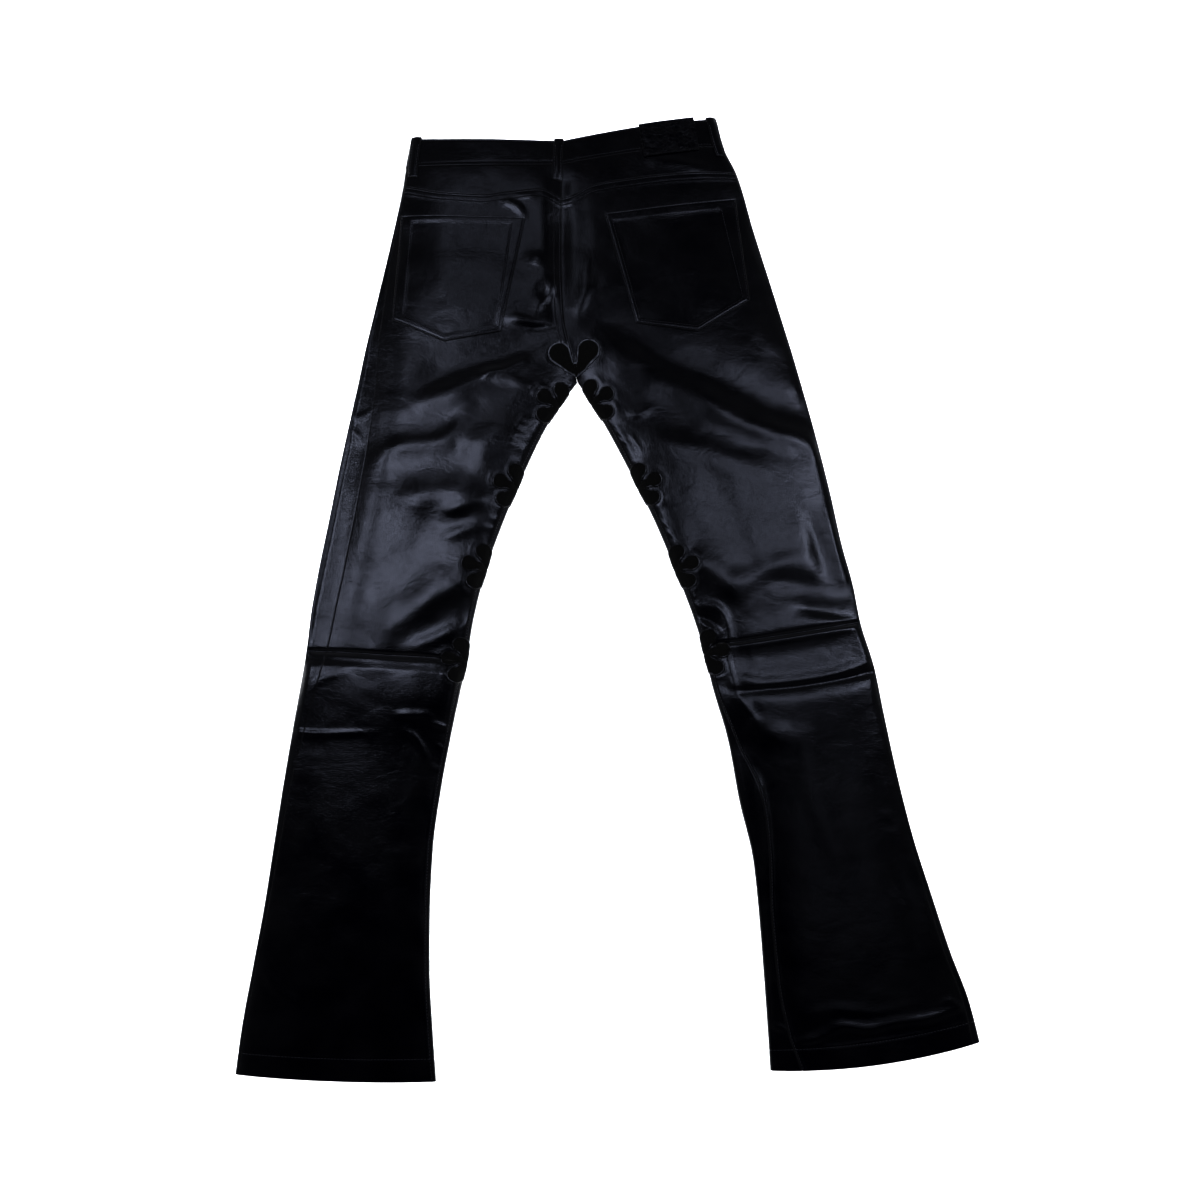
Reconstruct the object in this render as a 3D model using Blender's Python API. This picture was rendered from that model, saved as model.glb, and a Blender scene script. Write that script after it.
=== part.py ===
"""Leather trousers with flared legs, laid flat on their front, so that the back shows.

The garment is one skin, worked out from the sections across each half, the loft and creases of its back,
and the places where its front is held off the floor. Each sewn piece is a leather wall over its own patch of
that skin, and stops just short of its neighbours at the seams. What is sewn on top of a panel is a wall
over the panel's own points, moved out. All sizes are in millimetres: X runs to the right, Y to the waist,
and Z up from the floor.
"""

import math

import bmesh
import bpy
import numpy as np

MM = 0.001

# Leather and seams.
LEATHER = 1.5  # one layer of cowhide
SUEDE = 1.2
SEAM_GAP = 0.3  # between two pieces at a seam, and between a panel and what lies on it
HEM_DEPTH = 26.0
HEM_WALL = 2.6  # the leg's end is folded double
BAND_WALL = 3.0  # the waistband is folded double
BAND_PROUD = 0.5  # how far the waistband stands above the panels
LEG_ROLL = 3.2  # radius of a leg's side edges
WAIST_ROLL = 5.5
WAIST_ROLL_END = 90.0  # the side edges have thinned to the legs' roll this far below the waistband
SIDE_TURN = 3.0  # how far up the back the front is turned where no seam shows

# How far the front is held off the floor, and the distances over which that dies away.
WAIST_LIFT = 3.0  # by the belt loops and the button under the waistband
WAIST_LIFT_ENDS = (50.0, 115.0)  # below the waistband's seam
FLOWER_LIFT = 1.6  # by the flowers sewn over the inseams
FLOWER_LIFT_INWARD = (48.0, 92.0)  # from the inseam
FLOWER_LIFT_ABOVE = (285.0, 345.0)  # along Y, above the crotch
FLOWER_LIFT_BELOW = (150.0, 210.0)  # along -Y, down the legs

# Sections across one half, from the waist to the hem. The side and inner ends are places in plan: the inner
# end is on the centre-back seam down to the crotch, and on the inseam below it. side_seam and inseam say
# how far in from the edge each seam lies on the back. front_dip lowers the front's middle, bow bends a
# section up or down, yoke_wave is the share of the yoke seam's own wave, and rows is how many rows of faces
# reach the next section.
COLUMNS = (
    "side_x", "side_y", "inner_x", "inner_y", "side_seam", "inseam", "front_dip", "bow", "yoke_wave", "rows"
)
LEFT_SECTIONS = {
    "band top": (-248, 555, -56, 551, 3, 0, 28, 0, 0, 3),
    "band seam": (-254, 517, -57, 518, 3, 0, 28, 0, 0, 2),
    "yoke seam": (-257, 492, -58, 474, 3, 0, 26, 0, 1, 3),
    "upper seat": (-273, 409, -58, 403, 5, 0, 16, 0, 0.3, 3),
    "lower seat": (-290, 324, -55, 324, 12, 0, 4, 0, 0, 2),
    "under pocket": (-299, 279, -46, 279, 17, 0, 0, 0, 0, 4),
    "crotch": (-306, 238, -37.5, 238, 23, 1, 0, 0, 0, 3),
    "upper thigh": (-315, 190, -70, 190, 27, 2.5, 0, 0, 0, 3),
    "mid thigh": (-326, 129, -100, 127, 30, 3, 0, 0, 0, 3),
    "thigh": (-336, 68, -125, 65, 31, 3, 0, 0, 0, 2),
    "lower thigh": (-346, 9, -146, 3, 31, 3, 0, 0, 0, 2),
    "above knee": (-354, -48, -160, -57, 29, 3, 0, 0, 0, 3),
    "knee crease": (-358, -93, -168, -110, 25, 3, 0, 0, 0, 4),
    "under knee": (-371, -188, -184, -193, 15, 3, 0, 0, 0, 2),
    "calf": (-380, -256, -195, -258, 9, 3, 0, 0, 0, 1),
    "low calf": (-388, -324, -203, -327, 7, 3, 0, 0, 0, 1),
    "flare": (-396, -391, -205, -395, 5, 3, 0, 0, 0, 2),
    "mid flare": (-406, -458, -204, -462, 4, 3, 0, 0, 0, 2),
    "low flare": (-416, -526, -199, -531, 4, 3, 0, -2, 0, 1),
    "hem": (-421, -577, -194, -585, 4, 3, 0, -3, 0, 0),
}
RIGHT_SECTIONS = {
    "band top": (137, 582, -56, 551, 3, 0, 28, 4, 0, 3),
    "band seam": (148, 543, -57, 518, 3, 0, 28, 6, 0, 2),
    "yoke seam": (163, 510, -58, 474, 3, 0, 26, 2, 1, 3),
    "upper seat": (183, 437, -58, 403, 3, 0, 16, 0, 0.3, 3),
    "lower seat": (206, 355, -55, 324, 3, 0, 4, 0, 0, 2),
    "under pocket": (217, 315, -46, 279, 3, 0, 0, 0, 0, 4),
    "crotch": (227, 279, -36.5, 238, 3, 1, 0, 0, 0, 3),
    "upper thigh": (240, 228, -7, 190, 3, 2.5, 0, 0, 0, 3),
    "mid thigh": (256, 162, 26, 127, 3, 3, 0, 0, 0, 3),
    "thigh": (270, 97, 56, 65, 3, 3, 0, 0, 0, 2),
    "lower thigh": (282, 34, 81, 3, 3, 3, 0, 0, 0, 2),
    "above knee": (294, -16, 99, -45, 3, 3, 0, 0, 0, 3),
    "knee crease": (301, -59, 112, -87, 3, 3, 0, 0, 0, 4),
    "under knee": (316, -114, 124, -139, 3, 3, 0, 0, 0, 2),
    "calf": (326, -172, 141, -200, 3, 9, 0, 0, 0, 2),
    "low calf": (339, -243, 153, -270, 3, 26, 0, 0, 0, 2),
    "upper flare": (354, -311, 168, -339, 5, 19, 0, 0, 0, 1),
    "flare": (373, -378, 174, -407, 6, 14, 0, 0, 0, 1),
    "mid flare": (392, -442, 178, -473, 7, 15, 0, -2, 0, 2),
    "low flare": (411, -497, 181, -529, 7, 22, 0, -5, 0, 1),
    "hem": (421, -542, 183, -573, 8, 36, 0, -9, 0, 0),
}
# The yoke seam's wave: share of the way in from the side, and rise.
LEFT_YOKE_WAVE = ((0, 0), (0.27, -6), (0.5, -5), (0.67, 2), (0.88, 9), (1, 0))
RIGHT_YOKE_WAVE = ((0, 0), (0.21, 5), (0.5, 9), (0.7, 10), (0.82, 9), (0.95, 0), (1, 0))

# How far the back stands above its rolled edges: place along Y, and loft.
LOFT = (
    (-585, 5.5), (-500, 6), (-350, 6.5), (-200, 6.5), (-90, 5.5), (0, 7),
    (100, 8), (200, 8.5), (300, 9.5), (400, 10), (500, 6.5), (582, 4),
)
LOFT_REACH = 30.0  # the loft has mostly risen this far in from an edge
EDGE_FADE = 9.0  # creases die away this close to an edge

# The largest creases of the back: from, to, width and height. A valley's height is below 0.
CREASES = {
    "centre-back valley": (-58, 480, -57, 345, 11, -5),
    "roll right of centre": (-33, 440, -31, 340, 12, 2.5),
    "roll left of centre": (-82, 465, -84, 365, 14, 2.5),
    "pucker under the left pocket": (-125, 316, -78, 310, 10, 3),
    "hollow beside the rise": (-72, 345, -64, 320, 11, -3),
    "left side valley": (-274, 298, -290, 176, 14, -4),
    "left side valley, lower": (-290, 176, -324, -40, 14, -4),
    "left crotch valley": (-74, 285, -175, 240, 13, -4),
    "left crotch valley, tail": (-175, 240, -236, 215, 13, -3),
    "left thigh ridge": (-230, 200, -171, 222, 12, 3),
    "left thigh ridge, second": (-272, 137, -214, 152, 12, 3),
    "left thigh ridge, second, top": (-214, 152, -182, 183, 12, 3),
    "left thigh pit": (-170, 174, -118, 190, 13, -4),
    "left thigh valley": (-258, 98, -143, 111, 13, -3.5),
    "left knee valley": (-160, -16, -215, -48, 13, -4),
    "left knee valley, tail": (-215, -48, -272, -84, 13, -4),
    "left knee ridge": (-248, -88, -164, -55, 12, 3),
    "left knee crease": (-358, -93, -200, -103, 9, -3.5),
    "left knee second crease": (-374, -188, -268, -191, 10, -2.5),
    "right crotch valley": (-10, 311, 58, 264, 14, -5),
    "right crotch valley, middle": (58, 264, 162, 214, 14, -5),
    "right crotch valley, tail": (162, 214, 241, 168, 14, -4),
    "right thigh crest": (58, 226, 119, 211, 12, 3.5),
    "right thigh crest, second": (119, 211, 168, 176, 12, 4.5),
    "right thigh crest, third": (168, 176, 228, 158, 12, 5),
    "right thigh crest, tail": (228, 158, 256, 124, 12, 4),
    "right thigh valley": (40, 184, 112, 165, 14, -4),
    "right thigh valley, tail": (112, 165, 172, 150, 13, -2.5),
    "right knee valley": (112, 1, 156, -36, 12, -3),
    "right fan valley": (212, -12, 288, -48, 12, -3),
    "right knee crease": (141, -84, 301, -59, 9, -3.5),
    "right knee roll": (150, -132, 308, -108, 10, 3),
    "right knee second crease": (166, -145, 312, -121, 10, -3.5),
    "right calf bump": (170, -155, 194, -185, 14, 3),
    "right calf valley": (338, -345, 357, -418, 14, -3),
    "right hem wave": (232, -536, 266, -521, 10, 2.5),
    "right hem wave, second": (266, -521, 388, -505, 10, 2.5),
}

# Columns of points across a panel. The back's lie this far from its two seams, with evenly spaced ones
# between. The front's lie this far in from the side edge, from the inseam and, above the crotch, from the
# centre seam.
BACK_NEAR_SEAM = (0.0, 3.0, 9.0, 21.0)
BACK_MIDDLE = 6
FRONT_NEAR_SIDE = (0.0, 4.0, 14.0)
FRONT_NEAR_INSEAM = (52.0, 22.0, 9.0, 0.0)
FRONT_NEAR_CENTRE = (60.0, 30.0, 17.0, 9.0, 5.5, 2.5, SEAM_GAP / 2)
TURNED = 3  # columns of the front turned up on to the back, at the side and again at the inseam
# Columns along the back of the waistband, as shares of the way from the side edge to the centre.
BAND_SHARES = (0.0, 0.003, 0.012, 0.03, 0.12, 0.25, 0.4, 0.55, 0.7, 0.8, 0.9, 1.0)

# Corners of the back pockets in plan, from the side's top corner round by the bottom point.
POCKETS = {
    "pocket_left": ((-257, 453), (-102, 449), (-131, 301), (-201, 288), (-265, 316)),
    "pocket_right": ((160, 476), (-4, 454), (35, 311), (111, 300), (175, 341)),
}

# Belt loops: half, side of the garment, and distance in from the side edge at the loop's top and foot.
LOOPS = {
    "loop_back_left": ("left", False, 8, 12),
    "loop_back_centre": ("left", False, 187, 193),
    "loop_back_right": ("right", False, 7, 10),
    "loop_front_left": ("left", True, 96, 98),
    "loop_front_right": ("right", True, 96, 98),
}
LOOP_WIDTH = 12.0
LOOP_WALL = 1.6
# A loop's path: distance down from the band's top or from its seam, and how far its inner face stands off
# the skin.
LOOP_FROM_TOP = ((-0.6, -2.3), (-1.3, -1.0), (-1.2, 0.5), (1.5, 0.9), (12.0, 1.2), (26.0, 1.2))
LOOP_FROM_SEAM = ((-2.0, 1.0), (3.0, 0.85), (13.0, 0.5))

# Waistband patch: centre, size and turn.
PATCH_CENTRE = (77.0, 555.5)
PATCH_SIZE = (70.0, 45.0)
PATCH_TURN = 8.7  # degrees
PATCH_WALL = 1.6
PATCH_GAP = 0.4  # between the band and the patch

# Flowers over the inseams: half, and distance below the crotch of each flower's heart.
PETALS = 6
PETAL_REACH = 22.0  # heart to petal centre
PETAL_RADIUS = 10.5
HEART_RADIUS = 13.0
FLOWER_PLACES = {"left": (32.0, 135.0, 234.0, 346.0), "right": (28.0, 134.0, 235.0, 337.0)}
FLOWER_SPREAD = 55.0  # rows of the panels this far up and down the leg pass under a flower
FLOWER_COLUMNS = 6  # and so many columns of the back, with one more of the front
# The flower at the crotch shows two petals, which stand either side of the centre-back seam.
CROTCH_HEART = (-37.0, 240.0)
CROTCH_PETAL_REACH = 38.0
CROTCH_PETAL_RADIUS = 15.5
CROTCH_HEART_RADIUS = 22.0
CROTCH_TURN = 96.0  # degrees from +X to the line between the two petals
CROTCH_COLUMNS = 7  # columns of each back that pass under it

# Lap of the waistband over the closed front, fly shield and button.
LAP = 38.0
FLY_LENGTH = 150.0
FLY_GAP = 0.4  # between the fronts and the shield
BUTTON_DIAMETER = 17.0
BUTTON_HEIGHT = 2.2
BUTTON_BEVEL = 0.5

# An outline is cut as a column from below the garment to above it.
CUT_FROM = -20.0
CUT_TO = 60.0

BLACK_LEATHER = (0.010, 0.010, 0.012)
BLACK_SUEDE = (0.006, 0.006, 0.007)
PATCH_LEATHER = (0.014, 0.013, 0.013)
DARK_METAL = (0.18, 0.17, 0.16)


def clear_scene():
    for thing in list(bpy.data.objects):
        bpy.data.objects.remove(thing, do_unlink=True)


def ease(value, start, stop):
    """1 up to start and 0 from stop on, with a smooth step between."""
    share = np.clip((value - start) / (stop - start), 0.0, 1.0)
    return 1.0 - share * share * (3.0 - 2.0 * share)


def smooth_through(knots, values, where):
    """A cubic curve through the values that doesn't overshoot them."""
    step = np.diff(knots)
    slope = np.diff(values) / step
    tangent = np.zeros(len(values))
    tangent[0] = slope[0]
    tangent[-1] = slope[-1]
    for k in range(1, len(values) - 1):
        if slope[k - 1] * slope[k] > 0:
            tangent[k] = 2.0 * slope[k - 1] * slope[k] / (slope[k - 1] + slope[k])
    k = np.clip(np.searchsorted(knots, where, side="right") - 1, 0, len(step) - 1)
    u = (where - knots[k]) / step[k]
    start = (1 + 2 * u) * (1 - u) ** 2 * values[k] + u * (1 - u) ** 2 * step[k] * tangent[k]
    stop = u * u * (3 - 2 * u) * values[k + 1] + u * u * (u - 1) * step[k] * tangent[k + 1]
    return start + stop


class Half:
    """One half of the garment. A place down it is its run: its distance down the side edge from the top."""

    def __init__(self, sections, yoke_wave):
        self.stations = list(sections)
        self.table = dict(zip(COLUMNS, np.array(list(sections.values()), float).T))
        self.yoke_wave = np.array(yoke_wave, float).T
        steps = np.hypot(np.diff(self.table["side_x"]), np.diff(self.table["side_y"]))
        self.runs = np.concatenate(([0.0], np.cumsum(steps)))
        self.crotch = self.run_of("crotch")

    def run_of(self, station):
        return self.runs[self.stations.index(station)]

    def at(self, column, run):
        """A column's value at each run, smooth but for the corner at the crotch."""
        run = np.asarray(run, float)
        values = self.table[column]
        turn = self.stations.index("crotch")
        body = smooth_through(self.runs[: turn + 1], values[: turn + 1], run)
        leg = smooth_through(self.runs[turn:], values[turn:], run)
        return np.where(run < self.crotch, body, leg)

    def width(self, run):
        along_x = self.at("inner_x", run) - self.at("side_x", run)
        along_y = self.at("inner_y", run) - self.at("side_y", run)
        return np.hypot(along_x, along_y)

    def plan(self, run, across, under):
        """Places in plan at a distance across from the side edge; under is true on the front."""
        share = across / self.width(run)
        x = self.at("side_x", run) + (self.at("inner_x", run) - self.at("side_x", run)) * share
        y = self.at("side_y", run) + (self.at("inner_y", run) - self.at("side_y", run)) * share
        y = y + self.at("bow", run) * 4.0 * share * (1.0 - share)
        wave = smooth_through(self.yoke_wave[0], self.yoke_wave[1], np.clip(share, 0.0, 1.0))
        front = y - self.at("front_dip", run) * share * (2.0 - share)
        back = y + self.at("yoke_wave", run) * wave
        return np.stack([x, np.where(under, front, back)], axis=-1)

    def rows(self, first, last):
        """The runs of the rows from one station to another, half a seam gap short of both."""
        start = self.stations.index(first)
        stop = self.stations.index(last)
        runs = []
        for k in range(start, stop):
            count = int(self.table["rows"][k])
            runs.extend(self.runs[k] + (self.runs[k + 1] - self.runs[k]) * np.arange(count) / count)
        runs.append(self.runs[stop])
        if last == "hem":
            runs.extend([self.runs[-1] - HEM_DEPTH - 2.0, self.runs[-1] - HEM_DEPTH])
        runs = np.array(sorted(runs))
        if first != "band top":
            runs[0] += SEAM_GAP / 2
        if last != "hem":
            runs[-1] -= SEAM_GAP / 2
        return runs

    def wall_inside(self, runs):
        """How far the inner face lies under the skin in each row: the hem is folded double."""
        to_hem = self.runs[-1] - runs
        return -np.where(to_hem > HEM_DEPTH + 1.0, LEATHER, HEM_WALL)[:, None]


class Edges:
    """The rolled edges in plan, as lines of short straight runs with their inward directions."""

    def __init__(self, lines):
        starts = []
        stops = []
        inward = []
        inner = []
        for line, sign, is_inseam in lines:
            along = np.diff(line, axis=0)
            along = along / np.linalg.norm(along, axis=1)[:, None]
            starts.append(line[:-1])
            stops.append(line[1:])
            inward.append(sign * np.stack([-along[:, 1], along[:, 0]], axis=1))
            inner.append(np.full(len(along), is_inseam))
        self.starts = np.concatenate(starts)
        self.stops = np.concatenate(stops)
        self.inward = np.concatenate(inward)
        self.inner = np.concatenate(inner)

    def nearest(self, place, inseams_only=False):
        """Distance in from the nearest edge, and the direction straight in from it."""
        use = self.inner if inseams_only else np.full(len(self.inner), True)
        starts = self.starts[use]
        inward = self.inward[use]
        flat = place.reshape(-1, 1, 2)
        along = self.stops[use] - starts
        share = np.clip(((flat - starts) * along).sum(-1) / (along * along).sum(-1), 0.0, 1.0)
        away = flat - (starts + share[..., None] * along)
        distance = np.linalg.norm(away, axis=-1)
        best = distance.argmin(axis=1)
        pick = np.arange(len(best))
        depth = distance[pick, best]
        straight = away[pick, best] / np.maximum(depth, 1e-9)[:, None]
        direction = np.where((depth < 0.05)[:, None], inward[best], straight)
        return depth.reshape(place.shape[:-1]), direction.reshape(place.shape)


left = Half(LEFT_SECTIONS, LEFT_YOKE_WAVE)
right = Half(RIGHT_SECTIONS, RIGHT_YOKE_WAVE)
HALVES = {"left": left, "right": right}


def edge_line(half, first, on_inseam):
    runs = half.rows(first, "hem")
    runs[0] = half.run_of(first)
    across = half.width(runs) if on_inseam else np.zeros(len(runs))
    return half.plan(runs, across, False)


edges = Edges(
    [
        (edge_line(left, "band top", False), 1, False),
        (edge_line(left, "crotch", True), -1, True),
        (edge_line(right, "crotch", True), 1, True),
        (edge_line(right, "band top", False), -1, False),
    ]
)


def below_band(place):
    """How far a place lies below the waistband's seam."""
    seam_x = [left.table["side_x"][1], left.table["inner_x"][1], right.table["side_x"][1]]
    seam_y = [left.table["side_y"][1], left.table["inner_y"][1], right.table["side_y"][1]]
    return np.interp(place[..., 0], seam_x, seam_y) - place[..., 1]


def floor_lift(place):
    """How far the front is held off the floor."""
    waist = WAIST_LIFT * ease(below_band(place), *WAIST_LIFT_ENDS)
    depth, _ = edges.nearest(place, inseams_only=True)
    y = place[..., 1]
    up_and_down = ease(y, *FLOWER_LIFT_ABOVE) * ease(-y, *FLOWER_LIFT_BELOW)
    return waist + FLOWER_LIFT * ease(depth, *FLOWER_LIFT_INWARD) * up_and_down


def back_relief(place):
    """The back's height over its rolled edges: loft and creases, on the front's own lift."""
    depth, _ = edges.nearest(place)
    places, lofts = np.array(LOFT, float).T
    height = smooth_through(places, lofts, place[..., 1]) * (1.0 - np.exp(-depth / LOFT_REACH))
    for from_x, from_y, to_x, to_y, width, rise in CREASES.values():
        start = np.array([from_x, from_y], float)
        along = np.array([to_x, to_y], float) - start
        share = np.clip((place - start) @ along / (along @ along), 0.0, 1.0)
        away = np.linalg.norm(place - start - share[..., None] * along, axis=-1)
        height = height + rise * np.exp(-((away / width) ** 2))
    return floor_lift(place) + height * (1.0 - np.exp(-((depth / EDGE_FADE) ** 2)))


def slope_of(field, place, step=0.5):
    """The field's gradient in plan."""
    right_by = np.array([step, 0.0])
    up_by = np.array([0.0, step])
    across = (field(place + right_by) - field(place - right_by)) / (2 * step)
    along = (field(place + up_by) - field(place - up_by)) / (2 * step)
    return np.stack([across, along], axis=-1)


def skin(place, under):
    """Points of the skin and its outward directions. The edges are quarter rolls, tangent to both sides."""
    under = np.broadcast_to(under, place.shape[:-1])
    depth, direction = edges.nearest(place)
    roll = LEG_ROLL + (WAIST_ROLL - LEG_ROLL) * ease(below_band(place), 0.0, WAIST_ROLL_END)
    cosine = np.clip(1.0 - depth / roll, 0.0, 1.0)
    sine = np.sqrt(1.0 - cosine**2)
    field = np.where(under, floor_lift(place), back_relief(place))
    slope = np.where(under[..., None], -slope_of(floor_lift, place), slope_of(back_relief, place))
    facing = np.where(under, -1.0, 1.0)
    points = np.concatenate([place, (field + roll + facing * roll * sine)[..., None]], axis=-1)
    flat_part = -cosine[..., None] * direction - sine[..., None] * slope
    normals = np.concatenate([flat_part, (facing * sine)[..., None]], axis=-1)
    return points, normals / np.linalg.norm(normals, axis=-1)[..., None]


def join_columns(*pieces):
    """Patches of skin side by side, as one patch."""
    return tuple(np.concatenate(parts, axis=1) for parts in zip(*pieces))


def part_of(patch, rows, columns):
    points, normals = patch
    return points[rows][:, columns], normals[rows][:, columns]


def grid_normals(points):
    """Directions square to a grid of points, from its own rows and columns."""
    down = np.gradient(points, axis=0)
    over = np.gradient(points, axis=1)
    normals = np.cross(over, down)
    return normals / np.linalg.norm(normals, axis=-1)[..., None]


def back_across(half, runs):
    """Columns of the back, closer together near the side seam and the inner seam."""
    near = np.array(BACK_NEAR_SEAM)
    start = (half.at("side_seam", runs) + SEAM_GAP / 2)[:, None]
    stop = (half.width(runs) - half.at("inseam", runs) - SEAM_GAP / 2)[:, None]
    head = start + near
    tail = stop - near[::-1]
    middle = head[:, -1:] + (tail[:, :1] - head[:, -1:]) * np.arange(1, BACK_MIDDLE + 1) / (BACK_MIDDLE + 1)
    return np.concatenate([head, middle, tail], axis=1)


def turned_in(reach):
    """Distances from an edge up to the seam that lies `reach` in from it, closest together at the edge."""
    power = 1.0 + 1.3 * np.clip((reach - SIDE_TURN) / 20.0, 0.0, 1.0)
    shares = np.arange(1, TURNED + 1) / TURNED
    return reach[:, None] * shares ** power[:, None]


def front_across(half, runs):
    """Columns of the front, from the side seam down round the edge, under the garment and up to the inseam.

    Above the crotch the last columns stay underneath, and end at the centre-front seam instead.
    """
    width = half.width(runs)[:, None]
    up_side = turned_in(half.at("side_seam", runs) - SEAM_GAP / 2)[:, ::-1]
    under_side = np.broadcast_to(FRONT_NEAR_SIDE, (len(runs), len(FRONT_NEAR_SIDE)))
    under_inner = width - np.array(FRONT_NEAR_INSEAM)
    middle = (under_side[:, -1:] + under_inner[:, :1]) / 2
    up_inner = width - turned_in(np.maximum(half.at("inseam", runs) - SEAM_GAP / 2, 0.1))
    leg = np.concatenate([up_side, under_side, middle, under_inner, up_inner], axis=1)
    rise_end = width - np.array(FRONT_NEAR_CENTRE)
    body = np.concatenate([up_side, under_side, middle, rise_end], axis=1)
    in_leg = (runs >= half.crotch)[:, None]
    columns = np.arange(leg.shape[1])
    under_body = columns >= TURNED
    under_leg = under_body & (columns < leg.shape[1] - TURNED)
    return np.where(in_leg, leg, body), np.where(in_leg, under_leg, under_body)


def patch_of(half, runs, across, under=False):
    return skin(half.plan(runs[:, None], across, under), under)


def new_object(name, mesh, colour, roughness, metallic=0.0):
    material = bpy.data.materials.new(name)
    material.use_nodes = True
    shader = material.node_tree.nodes["Principled BSDF"]
    shader.inputs["Base Color"].default_value = (*colour, 1.0)
    shader.inputs["Roughness"].default_value = roughness
    shader.inputs["Metallic"].default_value = metallic
    mesh.materials.append(material)
    thing = bpy.data.objects.new(name, mesh)
    bpy.context.scene.collection.objects.link(thing)
    thing.parent = garment
    mesh.shade_smooth()
    mesh.set_sharp_from_angle(angle=math.radians(50.0))
    return thing


def closed_mesh(name, verts, faces):
    """A mesh with its faces pointing out, in metres."""
    mesh = bpy.data.meshes.new(name)
    mesh.from_pydata([tuple(v * MM for v in vert) for vert in verts], [], faces)
    form = bmesh.new()
    form.from_mesh(mesh)
    bmesh.ops.recalc_face_normals(form, faces=form.faces)
    form.to_mesh(mesh)
    form.free()
    return mesh


def wall_mesh(name, patch, outer, inner):
    """A closed wall over a patch of skin, between two distances out from it."""
    points, normals = patch
    rows, columns = points.shape[:2]
    outer = np.broadcast_to(outer, (rows, columns))[..., None]
    inner = np.broadcast_to(inner, (rows, columns))[..., None]
    faces_of_wall = [points + normals * outer, points + normals * inner]
    verts = np.concatenate([face.reshape(-1, 3) for face in faces_of_wall])
    size = rows * columns

    def corner(row, column, side):
        return side * size + row * columns + column

    # Each square of the grid is split along its shorter diagonal, so that stacked walls match.
    falling = np.linalg.norm(points[:-1, :-1] - points[1:, 1:], axis=-1)
    rising = np.linalg.norm(points[1:, :-1] - points[:-1, 1:], axis=-1)
    faces = []
    for side in (0, 1):
        for r in range(rows - 1):
            for c in range(columns - 1):
                a, b = corner(r, c, side), corner(r, c + 1, side)
                d, e = corner(r + 1, c, side), corner(r + 1, c + 1, side)
                pair = [[a, b, e], [a, e, d]] if falling[r, c] <= rising[r, c] else [[a, b, d], [b, e, d]]
                faces.extend(pair if side else [face[::-1] for face in pair])
    for r in range(rows - 1):
        for c in (0, columns - 1):
            faces.append([corner(r, c, 0), corner(r + 1, c, 0), corner(r + 1, c, 1), corner(r, c, 1)])
    for c in range(columns - 1):
        for r in (0, rows - 1):
            faces.append([corner(r, c, 0), corner(r, c + 1, 0), corner(r, c + 1, 1), corner(r, c, 1)])
    return closed_mesh(name, verts, faces)


def add_wall(name, patch, outer, inner, colour=BLACK_LEATHER, roughness=0.38):
    return new_object(name, wall_mesh(name, patch, outer, inner), colour, roughness)


def cut_to_outline(thing, outline):
    """Keeps what lies inside a vertical column over the outline."""
    count = len(outline)
    verts = [(x, y, CUT_FROM) for x, y in outline] + [(x, y, CUT_TO) for x, y in outline]
    faces = [list(range(count)), list(range(count, 2 * count))]
    faces += [[k, (k + 1) % count, count + (k + 1) % count, count + k] for k in range(count)]
    name = thing.name + "_outline"
    cutter = bpy.data.objects.new(name, closed_mesh(name, verts, faces))
    bpy.context.scene.collection.objects.link(cutter)
    cutter.hide_render = True
    cutter.display_type = "WIRE"
    cutter.parent = garment
    cut = thing.modifiers.new("outline", "BOOLEAN")
    cut.operation = "INTERSECT"
    cut.solver = "EXACT"
    cut.object = cutter


def make_legs(half, name):
    """The back and front of one half. Returns their patches of skin, for what is sewn on them."""
    back_runs = half.rows("yoke seam", "hem")
    back = patch_of(half, back_runs, back_across(half, back_runs))
    add_wall("back_" + name, back, 0.0, half.wall_inside(back_runs))
    front_runs = half.rows("band seam", "hem")
    across, under = front_across(half, front_runs)
    front = patch_of(half, front_runs, across, under)
    add_wall("front_" + name, front, 0.0, half.wall_inside(front_runs))
    return back_runs, back, front_runs, front


def make_yoke(half, name):
    runs = half.rows("band seam", "yoke seam")
    add_wall("yoke_" + name, patch_of(half, runs, back_across(half, runs)), 0.0, -LEATHER)


def make_waistband():
    """One strip, from the button end under the right front round the left side, the back and the right side.

    Its other end is tucked up inside the lapped one. Underneath it has the fronts' own columns.
    """
    runs = left.rows("band top", "band seam")
    right_runs = right.rows("band top", "band seam")
    left_under = front_across(left, runs)[0][:, TURNED:]
    right_under = front_across(right, right_runs)[0][:, TURNED:]
    to_side = np.array(BAND_SHARES)
    from_centre = right.width(right_runs)[:, None]
    strip = join_columns(
        patch_of(right, right_runs, from_centre - np.array([LAP, LAP / 2]), True),
        patch_of(left, runs, left_under[:, ::-1], True),
        patch_of(left, runs, left.width(runs)[:, None] * to_side[1:-1]),
        patch_of(right, right_runs, from_centre * to_side[::-1]),
        patch_of(right, right_runs, right_under[:, 1 : len(FRONT_NEAR_SIDE) + 2], True),
        patch_of(right, right_runs, from_centre - np.array([LAP + 2.0, LAP / 2, 0.5]), True),
    )
    tucked = np.zeros(strip[0].shape[1])
    tucked[-3:] = BAND_WALL + SEAM_GAP
    add_wall("waistband", strip, BAND_PROUD - tucked, BAND_PROUD - BAND_WALL - tucked)


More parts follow.
